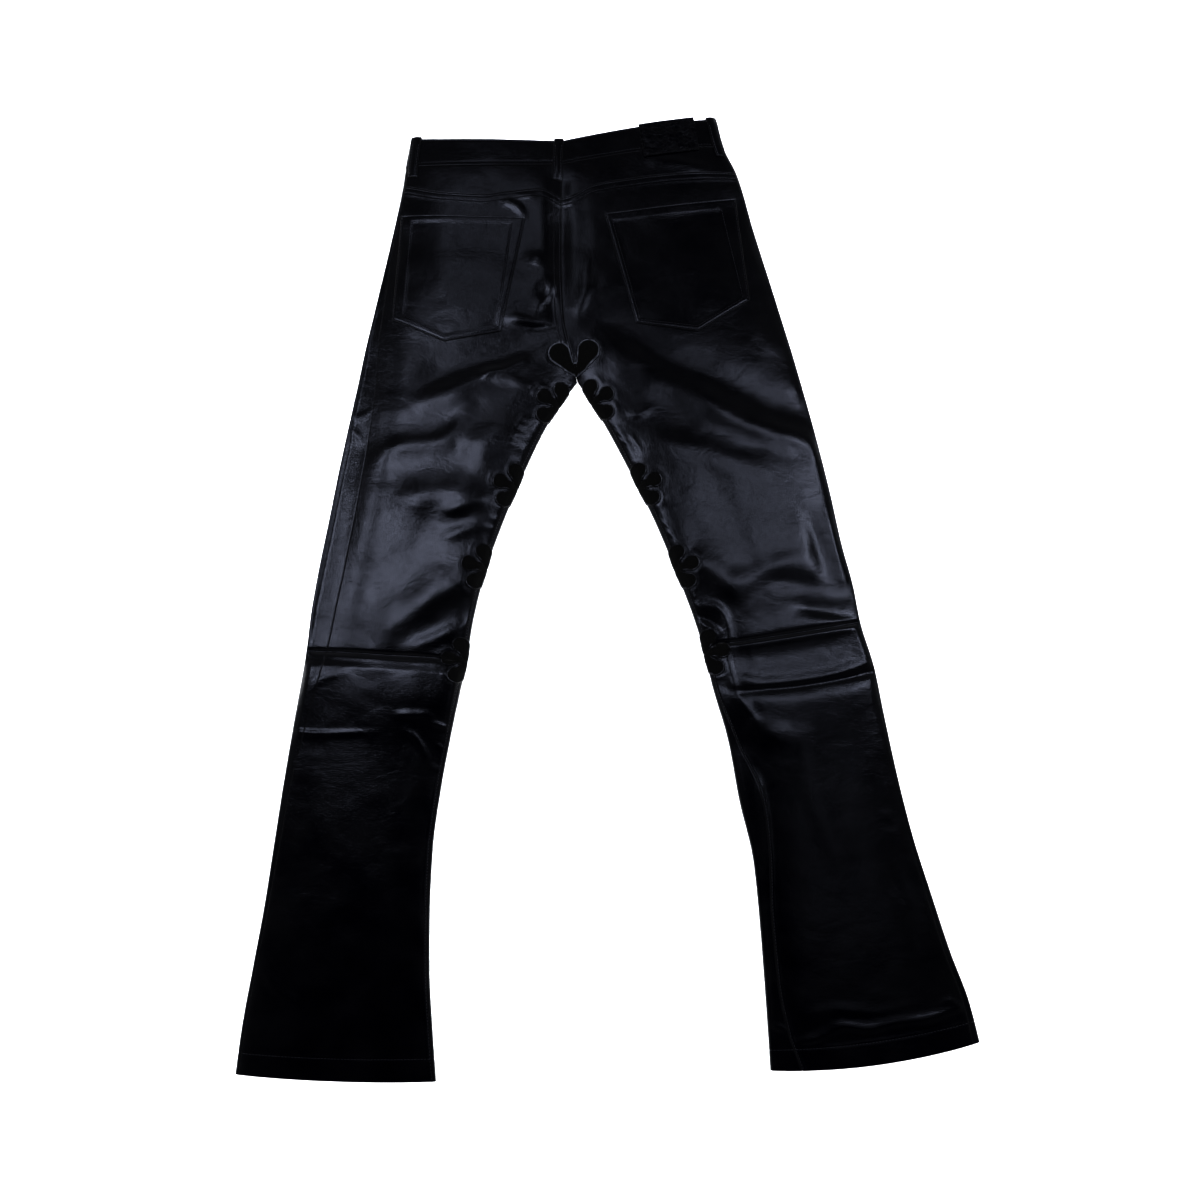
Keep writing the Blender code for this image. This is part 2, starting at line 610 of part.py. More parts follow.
def make_loop(name, half, under, top_across, foot_across):
    """A belt loop: folded over the band's top edge, down its face and sewn below its seam."""
    seam = half.run_of("band seam")
    run, off = np.array(LOOP_FROM_TOP + tuple((seam + down, out) for down, out in LOOP_FROM_SEAM)).T
    middle = np.interp(run, [0.0, run[-1]], [top_across, foot_across])
    across = middle[:, None] + np.array([-0.5, -0.25, 0.0, 0.25, 0.5]) * LOOP_WIDTH
    points, normals = patch_of(half, run, across, under)
    points = points + normals * off[:, None, None]
    own = grid_normals(points)
    own *= np.sign((own[-1, 2] * normals[-1, 2]).sum())
    add_wall(name, (points, own), LOOP_WALL, 0.0)


def make_patch():
    width, height = PATCH_SIZE
    turn = math.radians(PATCH_TURN)
    over, down = np.meshgrid(np.linspace(-width / 2, width / 2, 7), np.linspace(height / 2, -height / 2, 5))
    x = PATCH_CENTRE[0] + over * math.cos(turn) - down * math.sin(turn)
    y = PATCH_CENTRE[1] + over * math.sin(turn) + down * math.cos(turn)
    lift = BAND_PROUD + PATCH_GAP
    patch = skin(np.stack([x, y], axis=-1), False)
    add_wall("waist_patch", patch, lift + PATCH_WALL, lift, PATCH_LEATHER, 0.5)


def rows_from(half, runs, first, last):
    """Which rows lie from one station to another, with both."""
    return np.flatnonzero((runs > half.run_of(first) - 1.0) & (runs < half.run_of(last) + 1.0))


def make_pocket(name, back_runs, back, half):
    """A back pocket: a wall over the panel's own points, cut to the pocket's five corners."""
    rows = rows_from(half, back_runs, "yoke seam", "crotch")
    pocket = add_wall(name, part_of(back, rows, slice(None)), SEAM_GAP + LEATHER, SEAM_GAP)
    cut_to_outline(pocket, POCKETS[name])


def flower_outline(heart, facing, petals, reach, radius, heart_radius, points=36):
    """The rim of round petals set evenly about a heart; facing is the direction of a petal's middle."""
    outline = []
    for angle in np.linspace(0.0, 2 * math.pi, points, endpoint=False):
        turn = 2 * math.pi / petals
        off_petal = (angle - facing + turn / 2) % turn - turn / 2
        aside = reach * math.sin(off_petal)
        rim = heart_radius
        if abs(aside) < radius:
            rim = max(rim, reach * math.cos(off_petal) + math.sqrt(radius**2 - aside**2))
        outline.append((heart[0] + rim * math.cos(angle), heart[1] + rim * math.sin(angle)))
    return outline


def make_inseam_flower(name, half, below_crotch, back_runs, back, front_runs, front):
    """A suede flower folded over the inseam, so that half of it lies on each side of the leg."""
    hearts = half.plan(half.runs, half.width(half.runs), False)
    drop = hearts[half.stations.index("crotch"), 1] - below_crotch
    run = np.interp(-drop, -hearts[:, 1], half.runs)
    pair = np.array([run, run + 5.0])
    heart, ahead = half.plan(pair, half.width(pair), False)
    inward = half.plan(pair, half.width(pair) - 10.0, False)[0] - heart
    along = (ahead - heart) / np.linalg.norm(ahead - heart)
    square = inward - along * (inward @ along)
    on_leg = np.flatnonzero(back_runs >= half.crotch)
    near = on_leg[np.abs(back_runs[on_leg] - run) <= FLOWER_SPREAD]
    rows = np.arange(max(near[0] - 1, on_leg[0]), near[-1] + 2)
    strip = join_columns(
        part_of(back, rows, slice(-FLOWER_COLUMNS, None)),
        part_of(front, rows + len(front_runs) - len(back_runs), slice(-1, -2 - FLOWER_COLUMNS, -1)),
    )
    flower = add_wall(name, strip, SEAM_GAP + SUEDE, SEAM_GAP, BLACK_SUEDE, 0.95)
    facing = math.atan2(square[1], square[0])
    outline = flower_outline(heart, facing, PETALS, PETAL_REACH, PETAL_RADIUS, HEART_RADIUS)
    cut_to_outline(flower, outline)


def make_crotch_flower(back_runs, left_back, right_back):
    """The two petals that show above the crotch, over the centre-back seam."""
    rows = rows_from(left, back_runs, "lower seat", "crotch")[:-1]
    strip = join_columns(
        part_of(left_back, rows, slice(-CROTCH_COLUMNS, None)),
        part_of(right_back, rows, slice(-1, -1 - CROTCH_COLUMNS, -1)),
    )
    flower = add_wall("flower_crotch", strip, SEAM_GAP + SUEDE, SEAM_GAP, BLACK_SUEDE, 0.95)
    facing = math.radians(CROTCH_TURN - 180.0 / PETALS)
    outline = flower_outline(
        CROTCH_HEART, facing, PETALS, CROTCH_PETAL_REACH, CROTCH_PETAL_RADIUS, CROTCH_HEART_RADIUS, 48
    )
    cut_to_outline(flower, outline)


def make_fly_shield(left_front, right_front, runs):
    """The strip inside the fly, over the closed centre-front seam, on every second column of the fronts."""
    rows = np.flatnonzero(runs < left.run_of("band seam") + FLY_LENGTH)[1:]
    strip = join_columns(
        part_of(left_front, rows, slice(-4, None, 2)),
        part_of(right_front, rows, slice(-2, -7, -2)),
    )
    inside = -(LEATHER + FLY_GAP)
    add_wall("fly_shield", strip, inside, inside - LEATHER)


def make_button():
    """The waist button, flat on the floor under the waistband's lapped end."""
    run = np.array([left.run_of("band seam") / 2])
    place = right.plan(run, right.width(run) - LAP / 2, True)[0]
    form = bmesh.new()
    radius = BUTTON_DIAMETER / 2 * MM
    height = BUTTON_HEIGHT * MM
    bmesh.ops.create_cone(form, cap_ends=True, segments=24, radius1=radius, radius2=radius, depth=height)
    rims = [edge for edge in form.edges if abs(edge.verts[0].co.z - edge.verts[1].co.z) < height / 2]
    bmesh.ops.bevel(form, geom=rims, offset=BUTTON_BEVEL * MM, segments=1, affect="EDGES")
    mesh = bpy.data.meshes.new("waist_button")
    form.to_mesh(mesh)
    form.free()
    button = new_object("waist_button", mesh, DARK_METAL, 0.35, 1.0)
    button.location = (place[0] * MM, place[1] * MM, BUTTON_HEIGHT / 2 * MM)


clear_scene()
garment = bpy.data.objects.new("trousers", None)
bpy.context.scene.collection.objects.link(garment)

legs = {name: make_legs(half, name) for name, half in HALVES.items()}
for half_name, this_half in HALVES.items():
    make_yoke(this_half, half_name)
    make_pocket("pocket_" + half_name, *legs[half_name][:2], this_half)
    for number, place_down in enumerate(FLOWER_PLACES[half_name], start=1):
        make_inseam_flower(f"flower_{half_name}_{number}", this_half, place_down, *legs[half_name])
make_waistband()
for loop_name, (half_name, on_front, at_top, at_foot) in LOOPS.items():
    make_loop(loop_name, HALVES[half_name], on_front, at_top, at_foot)
make_patch()
make_crotch_flower(legs["left"][0], legs["left"][1], legs["right"][1])
make_fly_shield(legs["left"][3], legs["right"][3], legs["left"][2])
make_button()
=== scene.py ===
"""The look of leather trousers with flared legs, laid flat on their front, so that the back shows.

The garment is one skin, worked out from its sections, loft, creases and seams on a fine grid. Each
sewn piece is a leather wall over its own patch of that skin, with its edges turned under and its
topstitching pulled in. All sizes are in millimetres until a mesh is made: X runs to the right, Y to
the waist, and Z up from the floor.
"""

import math

import bpy
import numpy as np
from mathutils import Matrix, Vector


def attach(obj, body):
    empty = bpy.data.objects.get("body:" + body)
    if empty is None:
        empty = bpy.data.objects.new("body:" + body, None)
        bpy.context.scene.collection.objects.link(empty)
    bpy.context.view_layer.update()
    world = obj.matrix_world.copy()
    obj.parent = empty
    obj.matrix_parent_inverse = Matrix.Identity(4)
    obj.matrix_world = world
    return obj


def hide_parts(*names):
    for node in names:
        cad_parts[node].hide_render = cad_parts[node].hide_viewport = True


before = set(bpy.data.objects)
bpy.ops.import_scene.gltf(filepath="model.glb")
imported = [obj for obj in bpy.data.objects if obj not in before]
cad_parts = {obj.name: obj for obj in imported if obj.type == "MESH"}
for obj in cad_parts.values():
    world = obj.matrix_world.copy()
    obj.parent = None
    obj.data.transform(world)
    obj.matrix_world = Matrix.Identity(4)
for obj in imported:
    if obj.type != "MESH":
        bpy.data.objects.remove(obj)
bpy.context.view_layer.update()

MM = 0.001

# Leather and seams.
LEATHER = 1.5
SUEDE = 1.2
SEAM_GAP = 0.3
HEM_DEPTH = 26.0
HEM_WALL = 2.6
BAND_WALL = 3.0
BAND_PROUD = 0.5
LEG_ROLL = 3.2
WAIST_ROLL = 5.5
WAIST_ROLL_END = 90.0
EDGE_ROUND = 0.7  # radius of a turned edge
WEAR_AND_HIGHLIGHT_REACH = 0.8  # how far in from a piece's edge its paler colour dies away: partly wear, partly a painted highlight along the turned edge

# How far the front is held off the floor, and the distances over which that dies away.
WAIST_LIFT = 3.0
WAIST_LIFT_ENDS = (50.0, 115.0)
FLOWER_LIFT = 1.6
FLOWER_LIFT_INWARD = (48.0, 92.0)
FLOWER_LIFT_ABOVE = (285.0, 345.0)
FLOWER_LIFT_BELOW = (150.0, 210.0)

# Sections across one half, from the waist to the hem: the side end and the inner end in plan, how
# far in from the edge each seam lies on the back, how far the front dips, the bow, and the share of
# the yoke's wave.
COLUMNS = (
    "side_x", "side_y", "inner_x", "inner_y", "side_seam", "inseam", "front_dip", "bow", "yoke_wave",
)
LEFT_SECTIONS = {
    "band top": (-248, 555, -56, 551, 3, 0, 28, 0, 0),
    "band seam": (-254, 517, -57, 518, 3, 0, 28, 0, 0),
    "yoke seam": (-257, 492, -58, 474, 3, 0, 26, 0, 1),
    "upper seat": (-273, 409, -58, 403, 5, 0, 16, 0, 0.3),
    "lower seat": (-290, 324, -55, 324, 12, 0, 4, 0, 0),
    "under pocket": (-299, 279, -46, 279, 17, 0, 0, 0, 0),
    "crotch": (-306, 238, -37.5, 238, 23, 1, 0, 0, 0),
    "upper thigh": (-315, 190, -70, 190, 27, 2.5, 0, 0, 0),
    "mid thigh": (-326, 129, -100, 127, 30, 3, 0, 0, 0),
    "thigh": (-336, 68, -125, 65, 31, 3, 0, 0, 0),
    "lower thigh": (-346, 9, -146, 3, 31, 3, 0, 0, 0),
    "above knee": (-354, -48, -160, -57, 29, 3, 0, 0, 0),
    "knee crease": (-358, -93, -168, -110, 25, 3, 0, 0, 0),
    "under knee": (-371, -188, -184, -193, 15, 3, 0, 0, 0),
    "calf": (-380, -256, -195, -258, 9, 3, 0, 0, 0),
    "low calf": (-388, -324, -203, -327, 7, 3, 0, 0, 0),
    "flare": (-396, -391, -205, -395, 5, 3, 0, 0, 0),
    "mid flare": (-406, -458, -204, -462, 4, 3, 0, 0, 0),
    "low flare": (-416, -526, -199, -531, 4, 3, 0, -2, 0),
    "hem": (-421, -577, -194, -585, 4, 3, 0, -3, 0),
}
RIGHT_SECTIONS = {
    "band top": (137, 582, -56, 551, 3, 0, 28, 4, 0),
    "band seam": (148, 543, -57, 518, 3, 0, 28, 6, 0),
    "yoke seam": (163, 510, -58, 474, 3, 0, 26, 2, 1),
    "upper seat": (183, 437, -58, 403, 3, 0, 16, 0, 0.3),
    "lower seat": (206, 355, -55, 324, 3, 0, 4, 0, 0),
    "under pocket": (217, 315, -46, 279, 3, 0, 0, 0, 0),
    "crotch": (227, 279, -36.5, 238, 3, 1, 0, 0, 0),
    "upper thigh": (240, 228, -7, 190, 3, 2.5, 0, 0, 0),
    "mid thigh": (256, 162, 26, 127, 3, 3, 0, 0, 0),
    "thigh": (270, 97, 56, 65, 3, 3, 0, 0, 0),
    "lower thigh": (282, 34, 81, 3, 3, 3, 0, 0, 0),
    "above knee": (294, -16, 99, -45, 3, 3, 0, 0, 0),
    "knee crease": (301, -59, 112, -87, 3, 3, 0, 0, 0),
    "under knee": (316, -114, 124, -139, 3, 3, 0, 0, 0),
    "calf": (326, -172, 141, -200, 3, 9, 0, 0, 0),
    "low calf": (339, -243, 153, -270, 3, 26, 0, 0, 0),
    "upper flare": (354, -311, 168, -339, 5, 19, 0, 0, 0),
    "flare": (373, -378, 174, -407, 6, 14, 0, 0, 0),
    "mid flare": (392, -442, 178, -473, 7, 15, 0, -2, 0),
    "low flare": (411, -497, 181, -529, 7, 22, 0, -5, 0),
    "hem": (421, -542, 183, -573, 8, 36, 0, -9, 0),
}
LEFT_YOKE_WAVE = ((0, 0), (0.27, -6), (0.5, -5), (0.67, 2), (0.88, 9), (1, 0))
RIGHT_YOKE_WAVE = ((0, 0), (0.21, 5), (0.5, 9), (0.7, 10), (0.82, 9), (0.95, 0), (1, 0))

# How far the back stands above its rolled edges: place along Y, and loft.
LOFT = (
    (-585, 5.5), (-500, 6), (-350, 6.5), (-200, 6.5), (-90, 5.5), (0, 7),
    (100, 8), (200, 8.5), (300, 9.5), (400, 10), (500, 6.5), (582, 4),
)
LOFT_REACH = 30.0
EDGE_FADE = 5.0  # creases die away this close to an edge
EDGE_LINE_STEP = 7.0  # between the points that an edge's line runs through
NEAREST_AT_ONCE = 4096  # places whose nearest edge is found together

# Creases of the back: rise, width on the left of its path and on the right, then the path, each
# point with the share of the rise that the crease has there. A valley's rise is below 0. Gloss
# shows a slope of 1 in 20.
CREASES = {
    # the seat
    "centre-back valley": (-3.4, 11, 12, (-58, 492, 0.6), (-58, 440, 1), (-57, 380, 0.9),
        (-56, 330, 0.3)),
    "roll right of centre": (1.1, 30, 15, (-16, 492, 0.5), (-14, 430, 1), (-12, 372, 1),
        (-18, 335, 0.4)),
    "roll left of centre": (1.3, 11, 20, (-80, 486, 0.6), (-78, 430, 1), (-76, 372, 0.9),
        (-72, 340, 0.2)),
    "curl by the left pocket": (1.5, 4, 6, (-134, 470, 0), (-124, 469, 1), (-112, 463, 1),
        (-103, 452, 0.3)),
    "roll over the curl": (0.9, 5, 9, (-118, 478, 0), (-98, 476, 1), (-84, 470, 0.5)),
    "knob left of the rise": (1.5, 8, 8, (-98, 396, 0.4), (-88, 394, 1), (-80, 386, 0.3)),
    "pucker under the left pocket": (2, 6, 8, (-130, 320, 0), (-110, 317, 1), (-94, 314, 0.8),
        (-78, 314, 0.2)),
    "trough under the pucker": (-1.5, 3, 3, (-106, 310, 0), (-90, 305, 1), (-68, 307, 0.5)),
    "hollow beside the rise": (-2, 10, 9, (-84, 366, 0), (-74, 344, 1), (-64, 318, 0.5)),
    "ridge beside the rise": (1.2, 4, 5, (-66, 372, 0), (-70, 352, 1), (-84, 334, 0.6),
        (-92, 322, 0)),
    "low ridge right of the rise": (1.2, 6, 8, (-24, 404, 0), (-28, 366, 1), (-36, 330, 0.3)),
    "fan right of the rise": (0.9, 5, 7, (-14, 378, 0), (-24, 352, 1), (-34, 322, 0.4)),
    "roll on the right yoke": (1.4, 8, 9, (48, 522, 0), (75, 522, 1), (112, 516, 0.8),
        (132, 512, 0)),
    "left hip hollow": (-1.5, 12, 14, (-262, 445, 0.3), (-268, 390, 1), (-280, 330, 0.6)),
    "left pocket, upper swell": (0.9, 26, 22, (-208, 430, 0.6), (-200, 385, 1), (-196, 340, 0.5)),
    "right hip streak": (0.9, 8, 9, (176, 330, 0), (186, 305, 1), (200, 280, 0.4)),
    # the left leg
    "left side step": (-5, 25, 32, (-284, 305, 0.5), (-294, 215, 0.9), (-309, 120, 1),
        (-321, 40, 1),
                       (-332, -30, 0.7), (-342, -88, 0.4)),
    "left side tuck": (0.9, 3, 5, (-322, 198, 0.4), (-308, 193, 1), (-290, 201, 0.2)),
    "left side tuck, lower": (0.8, 3, 4, (-316, 182, 0), (-304, 170, 1), (-298, 160, 0.3)),
    "left crotch valley": (-3.4, 30, 17, (-242, 232, 0.1), (-200, 247, 0.9), (-160, 265, 1),
        (-110, 281, 0.9),
                           (-62, 299, 0.2)),
    "left pull ridge": (2.4, 7, 6, (-158, 240, 0), (-146, 247, 1), (-126, 251, 0.8),
        (-104, 262, 0.5)),
    "left pull ridge, under": (1.1, 5, 6, (-150, 238, 0), (-122, 240, 1), (-98, 232, 0.6)),
    "left thigh ridge": (2.6, 15, 19, (-238, 204, 0.2), (-214, 215, 0.9), (-190, 224, 1),
        (-164, 233, 0.4)),
    "left thigh ridge, second": (2.4, 10, 15, (-284, 134, 0.1), (-248, 156, 1), (-210, 160, 1),
        (-188, 171, 0.9),
                                 (-174, 194, 0.3)),
    "left thigh pit": (3.2, 20, 30, (-182, 152, 0.2), (-152, 161, 1), (-124, 168, 0.9),
        (-98, 170, 0.3)),
    "left thigh fold": (3.8, 20, 26, (-266, 82, 0.1), (-226, 90, 1), (-184, 95, 1),
        (-144, 82, 0.4)),
    "left inseam ridge": (1.6, 8, 9, (-206, 70, 0), (-180, 78, 1), (-152, 88, 0.6)),
    "left inseam ridge, lower": (1.5, 8, 8, (-204, 40, 0), (-178, 48, 1), (-158, 56, 0.5)),
    "left knee fold": (3.8, 26, 18, (-278, -86, 0.3), (-244, -56, 0.9), (-215, -34, 1),
        (-188, -17, 1),
                       (-150, 2, 0.5)),
    "left knee ridge": (1.9, 8, 9, (-246, -98, 0), (-218, -86, 0.8), (-190, -74, 1),
        (-160, -60, 0.7)),
    "left knee crease": (-1.9, 2.2, 1.6, (-362, -94, 1), (-310, -97, 1), (-269, -100, 1),
        (-203, -104, 1),
                         (-167, -111, 0.4)),
    "left knee crease, above": (0.6, 18, 5, (-362, -88, 0.8), (-280, -93, 1), (-203, -98, 0.4)),
    "left knee crease, below": (1.5, 2.2, 7, (-360, -100, 0.5), (-310, -103, 0.8), (-251, -108, 1),
                                (-203, -111, 0.8)),
    "left swell under the knee": (4, 9, 62, (-355, -114, 1), (-270, -119, 1), (-180, -126, 0.8)),
    "left arc under the knee": (0.9, 4, 5, (-352, -146, 0), (-338, -130, 1), (-309, -121, 0.3)),
    "left second crease": (1.1, 3.4, 5, (-376, -189, 0.9), (-340, -193, 1), (-300, -192, 0.5),
        (-262, -190, 0)),
    "left ridge under the knee": (1.4, 4, 5, (-254, -173, 0), (-236, -171, 1), (-214, -171, 0.8),
        (-202, -176, 0)),
    "left ridge by the inseam": (1.3, 3, 4, (-212, -178, 0), (-198, -183, 1), (-184, -188, 0.5)),
    "left ridge under the knee, branch": (1.2, 4, 5, (-240, -187, 0), (-226, -197, 1),
        (-212, -218, 0.4)),
    "left calf arc": (0.8, 5, 6, (-396, -452, 0), (-384, -474, 1), (-366, -490, 1),
        (-345, -500, 0)),
    "left inseam bulge": (1.7, 12, 24, (-60, 208, 0.3), (-82, 190, 0.8), (-112, 127, 1),
        (-137, 65, 1),
                          (-158, 3, 1), (-172, -57, 1), (-180, -110, 0.8), (-196, -193, 0.3)),
    # the right leg
    "right inseam bulge": (1.9, 24, 12, (-12, 212, 0.4), (5, 190, 0.9), (38, 127, 1),
        (68, 65, 1), (93, 3, 1),
                           (111, -45, 0.9), (124, -87, 0.6), (137, -140, 0.3)),
    "right crotch valley": (-2.6, 22, 18, (-14, 314, 0.3), (30, 296, 0.9), (70, 268, 1),
        (120, 246, 1),
                            (170, 222, 0.9), (240, 186, 0.6)),
    "right crotch roll": (0.9, 14, 28, (-4, 272, 0.3), (36, 262, 1), (84, 240, 0.3)),
    "right thigh crest": (2.7, 16, 15, (56, 234, 0.3), (110, 218, 0.7), (150, 191, 0.95),
        (185, 178, 1),
                          (230, 167, 1), (252, 150, 1), (264, 118, 0.5)),
    "right thigh fold": (2.6, 18, 28, (32, 152, 0.2), (60, 157, 1), (112, 150, 1),
        (160, 132, 0.6), (204, 118, 0.1)),
    "right small ridge": (1.4, 5, 5, (22, 194, 0), (36, 195, 1), (52, 203, 0.3)),
    "right outer roll": (1.5, 10, 9, (262, 92, 0.2), (272, 50, 1), (284, -6, 0.7)),
    "right outer valley": (-1.9, 10, 10, (240, 72, 0.2), (251, 40, 1), (260, 0, 0.5)),
    "right low fold": (2.7, 22, 16, (96, 16, 0.2), (116, 7, 1), (140, -12, 1), (168, -30, 0.3)),
    "right low ridge": (1.5, 14, 13, (140, -24, 0.2), (185, -2, 1), (235, 18, 0.5)),
    "right fan valley": (-2.4, 18, 9, (208, -36, 0.2), (246, -44, 1), (288, -52, 0.8)),
    "right fan valley, upper": (-1.7, 13, 11, (176, -4, 0.2), (222, -14, 1), (268, -20, 0.6),
        (290, -24, 0)),
    "right ring by the knee": (1.8, 5, 6, (112, -38, 0.2), (128, -42, 0.9), (139, -55, 1),
        (145, -82, 0.6)),
    "right ring, valley": (-1.8, 5, 5, (102, -50, 0.5), (116, -56, 1), (130, -66, 0.6)),
    "right ring, second": (1.4, 3, 4, (104, -60, 0.4), (118, -66, 1), (128, -76, 0.4)),
    "right knee crease": (-2, 2.2, 1.7, (120, -87, 0.5), (150, -85, 1), (183, -80, 1),
        (240, -71, 1),
                          (306, -59, 1)),
    "right knee crease, above": (0.9, 14, 4, (160, -76, 0.2), (230, -65, 1), (304, -53, 0.7)),
    "right knee crease, below": (1.3, 2.4, 6, (140, -92, 0.5), (200, -83, 1), (300, -66, 0.7)),
    "right knee basin": (-0.9, 12, 13, (168, -104, 0.5), (215, -98, 1), (266, -90, 0.5)),
    "right knee bump": (1.2, 9, 10, (300, -76, 0.7), (306, -94, 1), (311, -112, 0.5)),
    "right inseam fold": (1.6, 6, 7, (140, -92, 0.5), (144, -118, 1), (150, -142, 1),
        (172, -178, 0.7)),
    "right second crease": (1.2, 8, 3.5, (150, -137, 0.6), (191, -134, 1), (240, -128, 1),
        (273, -121, 1),
                            (312, -108, 0.8)),
    "right blob by the fold": (1, 8, 8, (150, -118, 0.3), (160, -128, 1), (176, -130, 0.4)),
    "right second crease, drop": (-1.9, 4, 10, (160, -144, 0.5), (220, -139, 1), (280, -129, 1),
                                  (316, -119, 0.8)),
    "right swell under the knee": (2.4, 9, 55, (150, -154, 0.6), (230, -144, 1), (314, -129, 1)),
    "right calf bump": (2.6, 16, 14, (164, -176, 0.2), (180, -188, 0.9), (196, -196, 1),
        (222, -198, 0.4)),
    "right calf roll": (1, 18, 16, (228, -190, 0.3), (232, -240, 1), (262, -330, 0.6)),
    "right inseam ridge": (1.6, 4, 5, (175, -240, 0.2), (179, -266, 1), (184, -300, 0.6),
        (186, -345, 0.2)),
    "right calf valley": (-1.6, 14, 12, (322, -330, 0.2), (338, -370, 1), (354, -425, 0.4)),
    "right hem wave": (1.6, 4, 5.5, (206, -543, 0.3), (230, -538, 0.9), (246, -531, 0.7),
        (264, -523, 0.9),
                       (292, -526, 1), (326, -519, 0.8), (360, -515, 1), (398, -503, 0.6)),
    "right hem wave, over": (0.9, 6, 6, (226, -512, 0.1), (262, -505, 1), (300, -509, 0.5),
        (350, -500, 0.2)),
    "right hem tuck by the inseam": (1.2, 3, 4, (182, -522, 0.3), (196, -526, 1), (206, -531, 0.2)),
    "right hem tuck by the side": (1.1, 3, 4, (376, -499, 0), (388, -496, 1), (398, -501, 0.4)),
}
# Short puckers square to the inseams, between the flowers: from and to.
PUCKERS = (
    (-104, 190, -88, 186), (-108, 182, -92, 176), (-112, 170, -98, 165), (-118, 158, -103, 151),
    (-128, 62, -144, 66), (-133, 50, -150, 55), (-152, -20, -168, -10), (-156, -32, -172, -24),
    (-90, 224, -76, 216), (-84, 232, -72, 226), (0, 184, 14, 178), (4, 176, 20, 168), (8, 166, 26, 158),
    (30, 166, 40, 150), (62, 62, 78, 52), (68, 50, 84, 40), (90, -24, 104, -30), (96, -36, 110, -44),
    (112, -140, 126, -146), (120, -160, 134, -164), (-186, -214, -200, -206), (-192, -236, -206, -232),
)
PUCKER_RISE = 1.1
PUCKER_WIDTH = 2.6
# Slight unevenness of the hide: size of its swells along Y and along X, height and seed.
SWELLS = ((70.0, 70.0, 0.9, 3), (26.0, 30.0, 0.3, 5), (11.0, 12.0, 0.07, 8), (10.0, 18.0, 0.07, 13))

# Columns and rows of the grids.
ROW_STEP = 3.0
FINE_ROW_STEP = 1.3
FINE_REACH = 17.0  # the rows are fine this near to the knee's creases
KNEE_STATIONS = ("knee crease", "under knee")
NEAR_EDGE = (0.0, 0.25, 0.6, 1.0, 1.6, 2.3, 3.1, 4.0, 5.0, 6.0, 7.0, 7.8, 8.6, 9.6, 11.0)
BACK_MIDDLE = 68
BACK_CROWDED = 0.45  # how much closer the columns come towards the inner seam
TURNED_COLUMNS = 18
FRONT_NEAR_SIDE = (0.3, 0.8, 1.5, 2.4, 3.6, 6.0, 11.0, 18.0, 27.0)
FRONT_MIDDLE = 13
FRONT_NEAR_INSEAM = (52.0, 42.0, 33.0, 25.0, 18.0, 12.0, 7.0, 4.0, 2.4, 1.5, 0.8, 0.3, 0.0)
FRONT_NEAR_CENTRE = (60.0, 48.0, 38.0, 30.0, 23.0, 17.0, 12.0, 8.0, 5.0, 3.0, 1.6, 0.7, SEAM_GAP / 2)

# Topstitching: how far from a seam its rows run, how deep they pull the leather in, and how much
# the seam's layers raise it.
YOKE_ROWS = (1.7, 7.7)
CENTRE_ROWS = (1.7, 8.4)
INSEAM_ROWS = (1.7,)
BAND_ROWS_FROM_TOP = (2.6,)
BAND_ROWS_FROM_SEAM = (4.4,)
HEM_ROW = 23.5
STITCH_PULL = 0.22
STITCH_PULL_WIDTH = 0.9
THREAD_PROUD = 0.16  # of the leather that it has pulled in
SUNK = THREAD_PROUD - STITCH_PULL
SEAM_RAISE = 0.36
INSEAM_RAISE = 0.25
HEM_RAISE = 0.25
UNDER_HEM_SUNK = -0.12
HEM_SLOPE = 2.4  # half the width of the step at the hem's top
SEAM_SLOPE = (1.0, 4.0)  # past a seam's last row, where its step starts and stops
BAND_PUFF = 0.25
BAND_UNDER_SUNK = 0.35
STITCH_LENGTH = 2.9
STITCH_PITCH = 3.7
STITCH_WIDTH = 0.62
STITCH_RAISE = 0.3
# A stitch's rings of four corners: place along it, thickness, and how far the thread dips there.
STITCH_RINGS = ((-1.0, 0.35, -0.26), (-0.6, 1.0, 0.0), (0.6, 1.0, 0.0), (1.0, 0.35, -0.26))

# Corners of the back pockets and of their inner stitching, in plan.
POCKETS = {
    "left": (
        ((-257, 453), (-102, 449), (-131, 301), (-201, 288), (-265, 316)),
        ((-244, 444.5), (-119, 441.5), (-136, 307), (-200.5, 294.5), (-251.5, 321)),
    ),
    "right": (
        ((160, 476), (-4, 454), (35, 311), (111, 300), (175, 341)),
        ((142, 461), (6, 444), (40, 315), (111, 306.5), (167, 343)),
    ),
}
POCKET_ROW = 1.9  # outer stitching, in from the pocket's edge
POCKET_RAISE = 0.5  # the turned edges are double
POCKET_SLOPE = (-0.3, 2.6)  # past the inner row, where their step starts and stops
POCKET_COLUMNS = (
    0.0, 0.25, 0.6, 1.0, 1.5, 2.0, 2.6, 3.3, 4.1, 5.0, 5.9, 6.7, 7.4, 8.2, 9.2, 10.3, 11.3, 12.1,
    12.9, 13.8, 15.0, 16.2, 17.5,
)
POCKET_STEP = 2.8
AT_INNER_ROW = 0.93  # how much of the double leather's rise is left at the inner row
BY_POINT = (-0.008, -0.003, 0.0, 0.003, 0.008)  # columns by the point, as shares of the width

